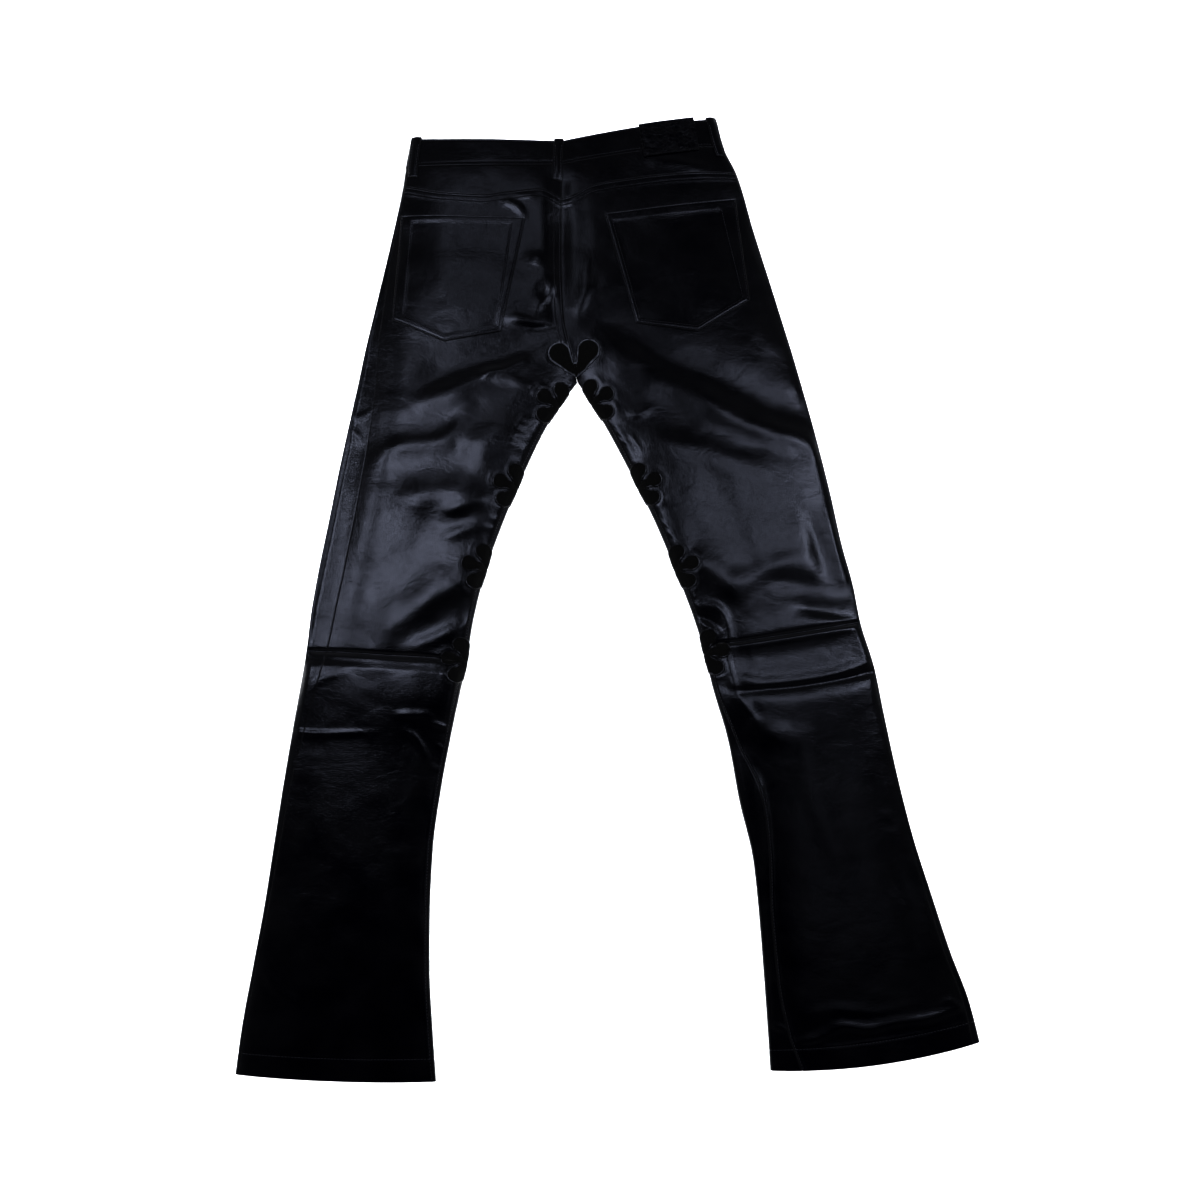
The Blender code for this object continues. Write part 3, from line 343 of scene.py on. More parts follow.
# Belt loops: half, on the front, and distance in from the side edge at the loop's top and foot.
LOOPS = {
    "loop_back_left": ("left", False, 8, 12),
    "loop_back_centre": ("left", False, 187, 193),
    "loop_back_right": ("right", False, 7, 10),
    "loop_front_left": ("left", True, 96, 98),
    "loop_front_right": ("right", True, 96, 98),
}
LOOP_WIDTH = 12.0
LOOP_WALL = 1.6
LOOP_ROW = 2.2  # stitching, in from a loop's edge
LOOP_FROM_TOP = ((-0.6, -2.3), (-1.3, -1.0), (-1.2, 0.5), (1.5, 0.9), (12.0, 1.2), (26.0, 1.2))
LOOP_FROM_SEAM = ((-2.0, 1.0), (3.0, 0.85), (11.8, 0.55), (12.6, 0.5), (13.0, 0.5))
LOOP_COLUMNS = (0.0, 0.25, 0.6, 1.1, 1.6, 2.2, 2.8, 3.5)
LOOP_CROWN = 0.5
LOOP_PULL = 0.32
LOOP_PULL_WIDTH = 0.8
LOOP_THREAD_PROUD = 0.14
LOOP_THREAD_UNDER = -0.4  # on the front, where the thread is pressed in

# Waistband patch.
PATCH_CENTRE = (77.0, 555.5)
PATCH_SIZE = (70.0, 45.0)
PATCH_TURN = 8.7
PATCH_WALL = 1.6
PATCH_GAP = 0.4
PATCH_STEP = 1.6
PATCH_ROW = 2.2
PATCH_PULL = 0.4
PATCH_PULL_WIDTH = 0.8
PATCH_RAISE = 0.35  # of its rim, and where in from its edge that starts and stops falling
PATCH_SLOPE = (1.5, 4.0)
PATCH_FLAT_EDGE = (2.0, 6.0)  # where in from its edge the buckles start and reach their height
PATCH_BUCKLES = ((9.0, 0.5, 21), (4.0, 0.25, 22))  # size, height and seed

# Flowers over the inseams.
HEART_LINE_ABOVE = 60.0
HEART_LINE_POINTS = 900
PETALS = 6
PETAL_REACH = 21.5
PETAL_RADIUS = 9.6
HEART_RADIUS = 10.0
PETAL_RIM = 1.5  # width of the turned leather edge round the suede
FLOWER_PLACES = {"left": (32.0, 135.0, 234.0, 346.0), "right": (28.0, 134.0, 235.0, 337.0)}
CROTCH_HEART = (-38.0, 243.0)
CROTCH_PETAL_REACH = 36.0
CROTCH_PETAL_RADIUS = 14.0
CROTCH_HEART_RADIUS = 18.0
CROTCH_TURN = 96.0

HALO_RISE = 0.42  # the back puckers up round each petal
HALO_OFF = 3.0
HALO_WIDTH = 2.8
HALO_REACH = 25.0
PETAL_PUFF = 1.1  # how far a petal swells, and how soon in from its rim
PETAL_PUFF_REACH = 3.5
PETAL_RIM_RAISE = 0.55
VEIN_DEPTH = 0.45  # the fold between two petals
VEIN_WIDTH = 1.4
HEART_PULL = 0.6
HEART_PULL_WIDTH = 5.0
PETAL_UNEVEN = (0.2, 4.0, 31)  # height, size and seed
FLAT_UNDER = 0.2  # how far a petal stands up on the side that lies on the floor
SUEDE_ROUND = 0.6
OVER_SEAM = 0.8  # how much of the centre seam's rise the two petals at the crotch show
ROLL_SPARE = 0.57 * LEG_ROLL  # how much longer a quarter roll is than the plan it covers

# Closure: how far the waistband laps, the columns in from its outer end and from the centre on its
# tucked end, and the fly shield's ends below the band's seam and its columns on each side of the
# centre.
LAP = 38.0
LAP_COLUMNS = (0.0, 0.3, 0.8, 1.6, 3.0, 8.0, 14.0, 20.0, 26.0, 32.0)
TUCK_COLUMNS = (57.0, 54.0, 51.0, 48.0, 45.0, 42.0, LAP + 2.0, 30.0, 20.0, 10.0, 4.0, 1.6, 0.8, 0.5)
TUCK_END = 60.0
BAND_LENGTHS = (192.0, 194.0)
BAND_STEP = 0.014  # as a share of those lengths
BAND_NEAR_SIDE = (0.0, 0.4, 1.0, 1.8, 2.8, 4.0, 5.5, 7.5, 10.0)
FLY_GAP = 0.4
FLY_ENDS = (12.6, 138.0)
FLY_LEFT = (9.0, 8.6, 8.0, 6.0, 4.0, 2.0)
FLY_RIGHT = (0.0, 3.0, 6.0, 10.0, 15.0, 20.0, 25.0, 29.0, 29.6, 30.0)

# Camera: its place and aim in metres, and its focal length.
CAMERA_PLACE = (-0.0093, -0.3476, 1.7296)
CAMERA_TARGET = (-0.0093, -0.0337, 0.008)
CAMERA_LENS = 44.036

# Studio, in metres and watts. Each light looks straight down: its X, Y and height, its size along X
# and Y, its power, and whether gloss shows it. Then the walls' light, from the height where it is
# strongest to straight up.
LIGHTS = {
    "left box": (-0.64, 0.475, 2.0, 0.44, 0.61, 5.6, True),
    "left strip": (-1.42, 0.58, 2.0, 0.40, 0.46, 4.6, True),
    "right box": (0.44, 0.49, 2.0, 0.50, 0.46, 2.5, True),
    "right strip": (1.12, 0.58, 2.0, 0.46, 0.46, 5.6, True),
    "top box": (-0.375, 1.20, 2.0, 0.38, 0.46, 0.95, True),
    "foot box": (0.60, -0.23, 2.0, 0.34, 0.62, 0.28, True),
    "fill": (0.0, -0.1, 2.6, 4.5, 4.5, 180.0, False),
}
FLOOR_HALF = 4.0
FLOOR_DROP = -0.0002
BOX_COLOUR = "#dfe6ff"
WALL_COLOUR = "#eef2ff"
WALL_TOP = (0.25, 0.95)
WALL_LIGHT = (0.4, 0.0)
# Film: more exposure and less gamma hold the leather's blacks down and let its gloss up.
FILM_EXPOSURE = 1.35
FILM_GAMMA = 0.7


def ease(value, start, stop):
    """1 up to start and 0 from stop on, with a smooth step between."""
    share = np.clip((value - start) / (stop - start), 0.0, 1.0)
    return 1.0 - share * share * (3.0 - 2.0 * share)


def bell(distance, width):
    """1 at no distance, dying away to next to nothing at twice the width."""
    return np.exp(-((distance / width) ** 2))


def smooth_through(knots, values, where):
    """A cubic curve through the values that doesn't overshoot them."""
    step = np.diff(knots)
    slope = np.diff(values) / step
    tangent = np.zeros(len(values))
    tangent[0] = slope[0]
    tangent[-1] = slope[-1]
    for k in range(1, len(values) - 1):
        if slope[k - 1] * slope[k] > 0:
            tangent[k] = 2.0 * slope[k - 1] * slope[k] / (slope[k - 1] + slope[k])
    k = np.clip(np.searchsorted(knots, where, side="right") - 1, 0, len(step) - 1)
    u = (where - knots[k]) / step[k]
    start = (1 + 2 * u) * (1 - u) ** 2 * values[k] + u * (1 - u) ** 2 * step[k] * tangent[k]
    stop = u * u * (3 - 2 * u) * values[k + 1] + u * u * (u - 1) * step[k] * tangent[k + 1]
    return start + stop


def own_length(line):
    """How far along a line of points each point lies."""
    return np.concatenate(([0.0], np.cumsum(np.linalg.norm(np.diff(line, axis=0), axis=1))))


def follow(where, knots, values):
    """The values along a line, so far along it as where says."""
    return np.stack([np.interp(where, knots, column) for column in values.T], axis=-1)


def rays(angles):
    """Directions in plan at these angles."""
    return np.stack([np.cos(angles), np.sin(angles)], axis=1)


def smooth_path(points, count):
    """A path through the points, with so many points along it."""
    points = np.array(points, float)
    knots = own_length(points[:, :2])
    where = np.linspace(0.0, knots[-1], count)
    return np.stack([smooth_through(knots, column, where) for column in points.T], axis=1)


class Half:
    """One half of the garment. A place's run is its distance down the side edge from the top."""

    def __init__(self, sections, yoke_wave):
        self.stations = list(sections)
        self.table = dict(zip(COLUMNS, np.array(list(sections.values()), float).T))
        self.yoke_wave = np.array(yoke_wave, float).T
        steps = np.hypot(np.diff(self.table["side_x"]), np.diff(self.table["side_y"]))
        self.runs = np.concatenate(([0.0], np.cumsum(steps)))
        self.crotch = self.run_of("crotch")

    def run_of(self, station):
        """How far down the side edge a station lies."""
        return self.runs[self.stations.index(station)]

    def at(self, column, run):
        """A column's value at each run, smooth but for the corner at the crotch."""
        run = np.asarray(run, float)
        values = self.table[column]
        turn = self.stations.index("crotch")
        body = smooth_through(self.runs[: turn + 1], values[: turn + 1], run)
        leg = smooth_through(self.runs[turn:], values[turn:], run)
        return np.where(run < self.crotch, body, leg)

    def width(self, run):
        """How far it is across in plan from the side edge to the inner one."""
        along_x = self.at("inner_x", run) - self.at("side_x", run)
        along_y = self.at("inner_y", run) - self.at("side_y", run)
        return np.hypot(along_x, along_y)

    def plan(self, run, across, under):
        """Places in plan at a distance across from the side edge; under is true on the front."""
        share = across / self.width(run)
        x = self.at("side_x", run) + (self.at("inner_x", run) - self.at("side_x", run)) * share
        y = self.at("side_y", run) + (self.at("inner_y", run) - self.at("side_y", run)) * share
        y = y + self.at("bow", run) * 4.0 * share * (1.0 - share)
        wave = smooth_through(self.yoke_wave[0], self.yoke_wave[1], np.clip(share, 0.0, 1.0))
        front = y - self.at("front_dip", run) * share * (2.0 - share)
        back = y + self.at("yoke_wave", run) * wave
        return np.stack([x, np.where(under, front, back)], axis=-1)

    def rows(self, first, last):
        """Runs between two stations, closest at both ends, the knee's creases and the hem's row."""
        start = self.run_of(first) + (SEAM_GAP / 2 if first != "band top" else 0.0)
        stop = self.run_of(last) - (SEAM_GAP / 2 if last != "hem" else 0.0)
        fine = [(self.run_of(station), FINE_REACH, FINE_ROW_STEP) for station in KNEE_STATIONS]
        fine.append((self.runs[-1] - HEM_DEPTH, 5.0, 0.8))
        runs = [start + near for near in NEAR_EDGE]
        while runs[-1] < stop - NEAR_EDGE[-1] - ROW_STEP:
            steps = [step for place, reach, step in fine if abs(runs[-1] - place) < reach]
            runs.append(runs[-1] + min(steps, default=ROW_STEP))
        runs.extend(stop - near for near in NEAR_EDGE[::-1])
        return np.array(runs)

    def wall_inside(self, runs):
        """How far the inner face lies under the skin in each row: the hem is folded double."""
        to_hem = self.runs[-1] - runs
        return -(LEATHER + (HEM_WALL - LEATHER) * ease(to_hem, HEM_DEPTH, HEM_DEPTH + 2.0))[:, None]


class Edges:
    """The rolled edges in plan, as lines of short straight runs with their inward directions."""

    def __init__(self, lines):
        self.starts = np.concatenate([line[:-1] for line, _, _ in lines])
        self.along = np.concatenate([np.diff(line, axis=0) for line, _, _ in lines])
        self.square_length = (self.along**2).sum(-1)
        turn = np.concatenate([np.full(len(line) - 1, sign) for line, sign, _ in lines])
        unit = self.along / np.sqrt(self.square_length)[:, None]
        self.inward = turn[:, None] * np.stack([-unit[:, 1], unit[:, 0]], axis=1)
        self.inner = np.concatenate([np.full(len(line) - 1, is_inseam) for line, _, is_inseam in lines])

    def nearest(self, place, inseams_only=False):
        """Distance in from the nearest edge, and the direction straight in from it."""
        use = self.inner if inseams_only else np.full(len(self.inner), True)
        starts, along, square_length = self.starts[use], self.along[use], self.square_length[use]
        flat = place.reshape(-1, 2)
        depth = np.empty(len(flat))
        direction = np.empty((len(flat), 2))
        for first in range(0, len(flat), NEAREST_AT_ONCE):
            some = slice(first, first + NEAREST_AT_ONCE)
            away_x = flat[some, 0][:, None] - starts[:, 0]
            away_y = flat[some, 1][:, None] - starts[:, 1]
            share = np.clip((away_x * along[:, 0] + away_y * along[:, 1]) / square_length, 0.0, 1.0)
            away_x -= share * along[:, 0]
            away_y -= share * along[:, 1]
            best = (away_x**2 + away_y**2).argmin(axis=1)
            pick = np.arange(len(best))
            away = np.stack([away_x[pick, best], away_y[pick, best]], axis=1)
            found = np.linalg.norm(away, axis=1)
            inward = self.inward[use][best]
            outside = (away * inward).sum(axis=1) < 0.0
            depth[some] = np.where(outside & (found < 1.0), 0.0, found)
            straight = away / np.maximum(found, 1e-9)[:, None]
            direction[some] = np.where((depth[some] < 0.3)[:, None], inward, straight)
        return depth.reshape(place.shape[:-1]), direction.reshape(place.shape)


left = Half(LEFT_SECTIONS, LEFT_YOKE_WAVE)
right = Half(RIGHT_SECTIONS, RIGHT_YOKE_WAVE)
HALVES = {"left": left, "right": right}


def edge_line(half, first, on_inseam):
    """A rolled edge in plan, from a station down to the hem."""
    start = half.run_of(first)
    runs = np.linspace(start, half.runs[-1], int((half.runs[-1] - start) / EDGE_LINE_STEP))
    across = half.width(runs) if on_inseam else np.zeros(len(runs))
    return half.plan(runs, across, False)


def on_the_right(left_runs):
    """The right half's runs that meet the left half's on the centre seam."""
    above_crotch = left.stations.index("crotch") + 1
    return np.interp(left_runs, left.runs[:above_crotch], right.runs[:above_crotch])


edges = Edges(
    [
        (edge_line(left, "band top", False), 1, False),
        (edge_line(left, "crotch", True), -1, True),
        (edge_line(right, "crotch", True), 1, True),
        (edge_line(right, "band top", False), -1, False),
    ]
)


def below_band(place):
    """How far a place lies below the waistband's seam."""
    seam_x = [left.table["side_x"][1], left.table["inner_x"][1], right.table["side_x"][1]]
    seam_y = [left.table["side_y"][1], left.table["inner_y"][1], right.table["side_y"][1]]
    return np.interp(place[..., 0], seam_x, seam_y) - place[..., 1]


def floor_lift(place):
    """How far the front is held off the floor."""
    waist = WAIST_LIFT * ease(below_band(place), *WAIST_LIFT_ENDS)
    depth, _ = edges.nearest(place, inseams_only=True)
    y = place[..., 1]
    up_and_down = ease(y, *FLOWER_LIFT_ABOVE) * ease(-y, *FLOWER_LIFT_BELOW)
    return waist + FLOWER_LIFT * ease(depth, *FLOWER_LIFT_INWARD) * up_and_down


def crease_height(place, rise, on_left, on_right, path):
    """A crease's height: it falls away from its path as wide as it is on each side."""
    x, y = place.T
    best = np.full(len(place), np.inf)
    height = np.zeros(len(place))
    for (ax, ay, a_share), (bx, by, b_share) in zip(path[:-1], path[1:]):
        along_x, along_y = bx - ax, by - ay
        share = np.clip(((x - ax) * along_x + (y - ay) * along_y) / (along_x**2 + along_y**2), 0.0, 1.0)
        away_x = x - ax - share * along_x
        away_y = y - ay - share * along_y
        square = away_x**2 + away_y**2
        side = along_x * away_y - along_y * away_x
        turned = side / np.maximum(np.sqrt(square) * math.hypot(along_x, along_y), 1e-9)
        width = on_right + (on_left - on_right) * (turned + 1.0) / 2.0
        here = rise * (a_share + (b_share - a_share) * share) * np.exp(-square / width**2)
        height = np.where(square < best, here, height)
        best = np.minimum(best, square)
    return height


def unevenness(place, size, seed):
    """Smooth swells and dips from -1 to 1, so far apart."""
    lattice = np.random.RandomState(seed).uniform(-1.0, 1.0, (64, 64))
    at = place / size
    cell = np.floor(at).astype(int)
    share = at - cell
    share = share * share * (3.0 - 2.0 * share)
    i, j = cell[..., 0] % 64, cell[..., 1] % 64
    i_next, j_next = (i + 1) % 64, (j + 1) % 64
    low = lattice[i, j] + (lattice[i_next, j] - lattice[i, j]) * share[..., 0]
    high = lattice[i, j_next] + (lattice[i_next, j_next] - lattice[i, j_next]) * share[..., 0]
    return low + (high - low) * share[..., 1]


CREASE_PATHS = [
    (rise, on_left, on_right, smooth_path(path, 5 * len(path)))
    for rise, on_left, on_right, *path in CREASES.values()
] + [
    (PUCKER_RISE, PUCKER_WIDTH, PUCKER_WIDTH, np.array([(ax, ay, 0.7), (bx, by, 0.3)], float))
    for ax, ay, bx, by in PUCKERS
]


def heart_line(half):
    """The inseam from a little above the crotch: runs, places, own length and inward directions."""
    runs = np.linspace(half.crotch - HEART_LINE_ABOVE, half.runs[-1], HEART_LINE_POINTS)
    line = half.plan(runs, half.width(runs), False)
    along = own_length(line)
    tangent = np.gradient(line, along, axis=0)
    inward = np.stack([tangent[:, 1], -tangent[:, 0]], axis=1)
    return runs, line, along, -inward if half is right else inward


def heart_of(half, below_crotch):
    """Where along the inseam a flower's heart lies, so far below the crotch."""
    runs, line, along, _ = heart_line(half)
    crotch_y = half.table["inner_y"][half.stations.index("crotch")]
    in_leg = runs >= half.crotch
    return np.interp(below_crotch - crotch_y, -line[in_leg, 1], along[in_leg])


def petal_places():
    """Each flower's petals that show on the back, as circles in plan: x, y and radius."""
    flowers = []
    for name, half in HALVES.items():
        _, line, along, inward = heart_line(half)
        for below_crotch in FLOWER_PLACES[name]:
            heart = heart_of(half, below_crotch)
            middle, square = follow(heart, along, line), follow(heart, along, inward)
            down = np.array([-square[1], square[0]])
            turns = np.radians([-60.0, 0.0, 60.0])
            off = np.cos(turns)[:, None] * square + np.sin(turns)[:, None] * down
            petals = middle + PETAL_REACH * off
            flowers.append(np.column_stack([petals, np.full(3, PETAL_RADIUS)]))
    turns = np.radians([CROTCH_TURN - 30.0, CROTCH_TURN + 30.0])
    petals = np.array(CROTCH_HEART) + CROTCH_PETAL_REACH * rays(turns)
    flowers.append(np.column_stack([petals, np.full(2, CROTCH_PETAL_RADIUS)]))
    return flowers


def petal_halo(place):
    """The ring that the leather rises in round each flower."""
    height = np.zeros(len(place))
    for petals in PETAL_PLACES:
        low, high = petals[:, :2].min(axis=0) - HALO_REACH, petals[:, :2].max(axis=0) + HALO_REACH
        near = np.flatnonzero(((place > low) & (place < high)).all(axis=1))
        if len(near):
            away = np.linalg.norm(place[near][:, None] - petals[:, :2], axis=-1) - petals[:, 2]
            uneven = HALO_RISE * (0.6 + 0.6 * unevenness(place[near], 10.0, 17))
            height[near] += uneven * bell(away.min(axis=1) - HALO_OFF, HALO_WIDTH)
    return height


PETAL_PLACES = petal_places()


def back_relief(place):
    """The back's height over its rolled edges: loft, creases and swells, on the front's own lift."""
    depth, _ = edges.nearest(place)
    places, lofts = np.array(LOFT, float).T
    height = smooth_through(places, lofts, place[..., 1]) * (1.0 - np.exp(-depth / LOFT_REACH))
    height = height.reshape(-1)
    flat = place.reshape(-1, 2)
    for rise, on_left, on_right, path in CREASE_PATHS:
        reach = 3.0 * max(on_left, on_right)
        low, high = path[:, :2].min(axis=0) - reach, path[:, :2].max(axis=0) + reach
        near = np.flatnonzero(((flat > low) & (flat < high)).all(axis=1))
        if len(near):
            height[near] += crease_height(flat[near], rise, on_left, on_right, path)
    height = (height + petal_halo(flat)).reshape(depth.shape)
    for along_y, along_x, rise, seed in SWELLS:
        height = height + rise * unevenness(place, np.array([along_x, along_y]), seed)
    return floor_lift(place) + height * (1.0 - bell(depth, EDGE_FADE))


def slope_of(field, place, step=0.4):
    """The field's gradient in plan."""
    right_by = np.array([step, 0.0])
    up_by = np.array([0.0, step])
    across = (field(place + right_by) - field(place - right_by)) / (2 * step)
    along = (field(place + up_by) - field(place - up_by)) / (2 * step)
    return np.stack([across, along], axis=-1)


def skin(place, under):
    """Points of the skin and its outward directions. Its edges are quarter rolls."""
    under = np.broadcast_to(under, place.shape[:-1])
    depth, direction = edges.nearest(place)
    roll = LEG_ROLL + (WAIST_ROLL - LEG_ROLL) * ease(below_band(place), 0.0, WAIST_ROLL_END)
    cosine = np.clip(1.0 - depth / roll, 0.0, 1.0)
    sine = np.sqrt(1.0 - cosine**2)
    field = np.empty(under.shape)
    slope = np.empty(place.shape)
    for side, height in ((True, floor_lift), (False, back_relief)):
        if (under == side).any():
            field[under == side] = height(place[under == side])
            slope[under == side] = slope_of(height, place[under == side]) * (-1.0 if side else 1.0)
    facing = np.where(under, -1.0, 1.0)
    points = np.concatenate([place, (field + roll + facing * roll * sine)[..., None]], axis=-1)
    flat_part = -cosine[..., None] * direction - sine[..., None] * slope
    normals = np.concatenate([flat_part, (facing * sine)[..., None]], axis=-1)
    return points, normals / np.linalg.norm(normals, axis=-1)[..., None]


def join_columns(*patches):
    """Patches side by side, as one."""
    return tuple(np.concatenate(parts, axis=1) for parts in zip(*patches))


def patch_of(half, runs, across, under=False):
    """The skin over a grid of places on one half."""
    return skin(half.plan(runs[:, None], across, under), under)


def back_across(half, runs):
    """Columns of the back, close together near the side seam and the inner seam."""
    near = np.array(NEAR_EDGE)
    start = (half.at("side_seam", runs) + SEAM_GAP / 2)[:, None]
    stop = (half.width(runs) - half.at("inseam", runs) - SEAM_GAP / 2)[:, None]
    head = start + near
    tail = stop - near[::-1]
    share = np.arange(1, BACK_MIDDLE + 1) / (BACK_MIDDLE + 1)
    share = share * (1.0 + BACK_CROWDED * (1.0 - share))
    middle = head[:, -1:] + (tail[:, :1] - head[:, -1:]) * share
    return np.concatenate([head, middle, tail], axis=1)


def turned_in(reach):
    """Distances in from an edge as far as the seam at `reach`, closest together at both ends."""
    share = np.arange(1, TURNED_COLUMNS + 1) / TURNED_COLUMNS
    return reach[:, None] * share**2 * (3.0 - 2.0 * share)


def front_across(half, runs):
    """Columns of the front, from the side seam round both edges to the inseam."""
    width = half.width(runs)[:, None]
    up_side = turned_in(half.at("side_seam", runs) - SEAM_GAP / 2)[:, ::-1]
    edge = np.zeros((len(runs), 1))
    under_side = edge + np.array(FRONT_NEAR_SIDE)
    under_inner = width - np.array(FRONT_NEAR_INSEAM)
    share = np.arange(1, FRONT_MIDDLE + 1) / (FRONT_MIDDLE + 1)
    rise_end = width - np.array(FRONT_NEAR_CENTRE)
    up_inner = width - turned_in(np.maximum(half.at("inseam", runs) - SEAM_GAP / 2, 0.1))
    leg_middle = under_side[:, -1:] + (under_inner[:, :1] - under_side[:, -1:]) * share
    leg = np.concatenate([up_side, edge, under_side, leg_middle, under_inner, up_inner], axis=1)
    body_middle = under_side[:, -1:] + (rise_end[:, :1] - under_side[:, -1:]) * share
    spare = np.repeat(rise_end[:, -1:], TURNED_COLUMNS, axis=1) + np.linspace(0, 0.05, TURNED_COLUMNS)
    body = np.concatenate([up_side, edge, under_side, body_middle, rise_end, spare], axis=1)
    in_leg = (runs >= half.crotch)[:, None]
    columns = np.arange(leg.shape[1])
    under_body = columns >= TURNED_COLUMNS
    under_leg = under_body & (columns < leg.shape[1] - TURNED_COLUMNS)
    return np.where(in_leg, leg, body), np.where(in_leg, under_leg, under_body)


def turned_under(distance, radius):
    """How far a face has turned under, this near to the piece's edge."""
    return radius - np.sqrt(np.maximum(radius**2 - np.clip(radius - distance, 0.0, radius) ** 2, 0.0))


def pulled_in(distance, rows):
    """How deep rows of stitches pull the leather in."""
    return sum(STITCH_PULL * bell(distance - row, STITCH_PULL_WIDTH) for row in rows)


def topstitched(distance, rows, raised=SEAM_RAISE):
    """Leather by a topstitched seam: raised as far as its last row, and pulled in under each."""
    start, stop = (rows[-1] + past for past in SEAM_SLOPE)
    return raised * ease(distance, start, stop) - pulled_in(distance, rows)


def grid_mesh(name, outer, inner):
    """A closed wall between two grids of points, in metres."""
    rows, columns = outer.shape[:2]
    verts = np.concatenate([outer.reshape(-1, 3), inner.reshape(-1, 3)]) * MM
    corner = np.arange(rows * columns).reshape(rows, columns)
    a, b, d, e = corner[:-1, :-1], corner[:-1, 1:], corner[1:, :-1], corner[1:, 1:]
    front = np.stack([a, d, e, b], axis=-1).reshape(-1, 4)
    behind = np.stack([a, b, e, d], axis=-1).reshape(-1, 4) + rows * columns
    rim = np.concatenate([corner[0, :], corner[1:, -1], corner[-1, -2::-1], corner[-2::-1, 0]])
    sides = np.stack([rim[:-1], rim[1:], rim[1:] + rows * columns, rim[:-1] + rows * columns], axis=-1)
    return faces_mesh(name, verts, np.concatenate([front, behind, sides]))


def faces_mesh(name, verts, faces):
    """A smooth mesh of four-sided faces, turned so that its faces point out."""
    first, second, third, fourth = (verts[faces[:, k]] for k in range(4))
    volume = (np.cross(first, second) * third).sum() + (np.cross(first, third) * fourth).sum()
    faces = faces if volume > 0 else faces[:, ::-1]
    mesh = bpy.data.meshes.new(name)
    mesh.vertices.add(len(verts))
    mesh.vertices.foreach_set("co", np.asarray(verts, np.float32).ravel())
    mesh.loops.add(faces.size)
    mesh.loops.foreach_set("vertex_index", np.ascontiguousarray(faces, np.int32).ravel())
    mesh.polygons.add(len(faces))
    mesh.polygons.foreach_set("loop_start", np.arange(0, faces.size, 4, dtype=np.int32))
    mesh.polygons.foreach_set("loop_total", np.full(len(faces), 4, np.int32))
    mesh.update(calc_edges=True)
    mesh.validate()
    mesh.shade_smooth()
    return mesh


def add_piece(name, mesh, materials, replaces=None):
    """Puts a piece in the scene: what it stands for, the body it rides on and its finish."""
    thing = bpy.data.objects.new(name, mesh)
    bpy.context.scene.collection.objects.link(thing)
    for material in materials:
        mesh.materials.append(material)
    if replaces:
        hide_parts(replaces)
    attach(thing, "root")
    return thing


def wall(name, stands_for, patch, outer, inner, materials):
    """A leather wall over a patch, its edges turned under, standing in for the part that stands_for
    names.
    """
    points, normals = patch
    to_edge = np.minimum.reduce(distances(points))
    under = turned_under(to_edge, EDGE_ROUND)
    high = np.broadcast_to(outer - under, points.shape[:2])[..., None]
    low = np.broadcast_to(inner + under, points.shape[:2])[..., None]
    mesh = grid_mesh(name, points + normals * high, points + normals * low)
    # Paler colour by the piece's edges: partly wear, partly a painted highlight where the turned edges
    # catch the light.
    wear_and_highlight = mesh.attributes.new("wear_and_highlight", "FLOAT", "POINT")
    wear_and_highlight.data.foreach_set("value", np.tile(np.exp(-to_edge / WEAR_AND_HIGHLIGHT_REACH).ravel(), 2).astype(np.float32))
    piece = add_piece(name, mesh, materials, stands_for)
    width, length, area = cut_of(points)
    flat = (width * MM, length * MM)
    area = min(area * MM * MM, flat[0] * flat[1])
    return piece


def distances(points):
    """How far over the skin each point lies from the first and last rows and columns."""
    down = np.linalg.norm(np.diff(points, axis=0), axis=-1)
    over = np.linalg.norm(np.diff(points, axis=1), axis=-1)
    top = np.concatenate([np.zeros((1, points.shape[1])), np.cumsum(down, axis=0)])
    side = np.concatenate([np.zeros((points.shape[0], 1)), np.cumsum(over, axis=1)], axis=1)
    return top, top[-1:] - top, side, side[:, -1:] - side


def cut_of(points):
    """Width, length and area of a patch laid out flat."""
    top, _, side, _ = distances(points)
    across = points[:-1, 1:] - points[1:, :-1]
    along = points[1:, 1:] - points[:-1, :-1]
    area = np.linalg.norm(np.cross(across, along), axis=-1).sum() / 2
    return side[:, -1].max(), top[-1].max(), area


def spaced(length, near, step):
    """Distances from 0 to length: the near ones at both ends, and even steps between."""
    near = np.array(near)
    count = max(int((length - 2 * near[-1]) / step), 1)
    middle = near[-1] + (length - 2 * near[-1]) * np.arange(1, count) / count
    return np.concatenate([near, middle, length - near[::-1]])


threads = {"thread_seat": [], "thread_pockets": [], "thread_waistband": [], "thread_legs": []}


def sew(seam, place, under=False, height=0.0):
    """Runs a row of stitches through places on the skin, at a height over it."""
    points, normals = skin(place, under)
    threads[seam].append((points + normals * height, normals))


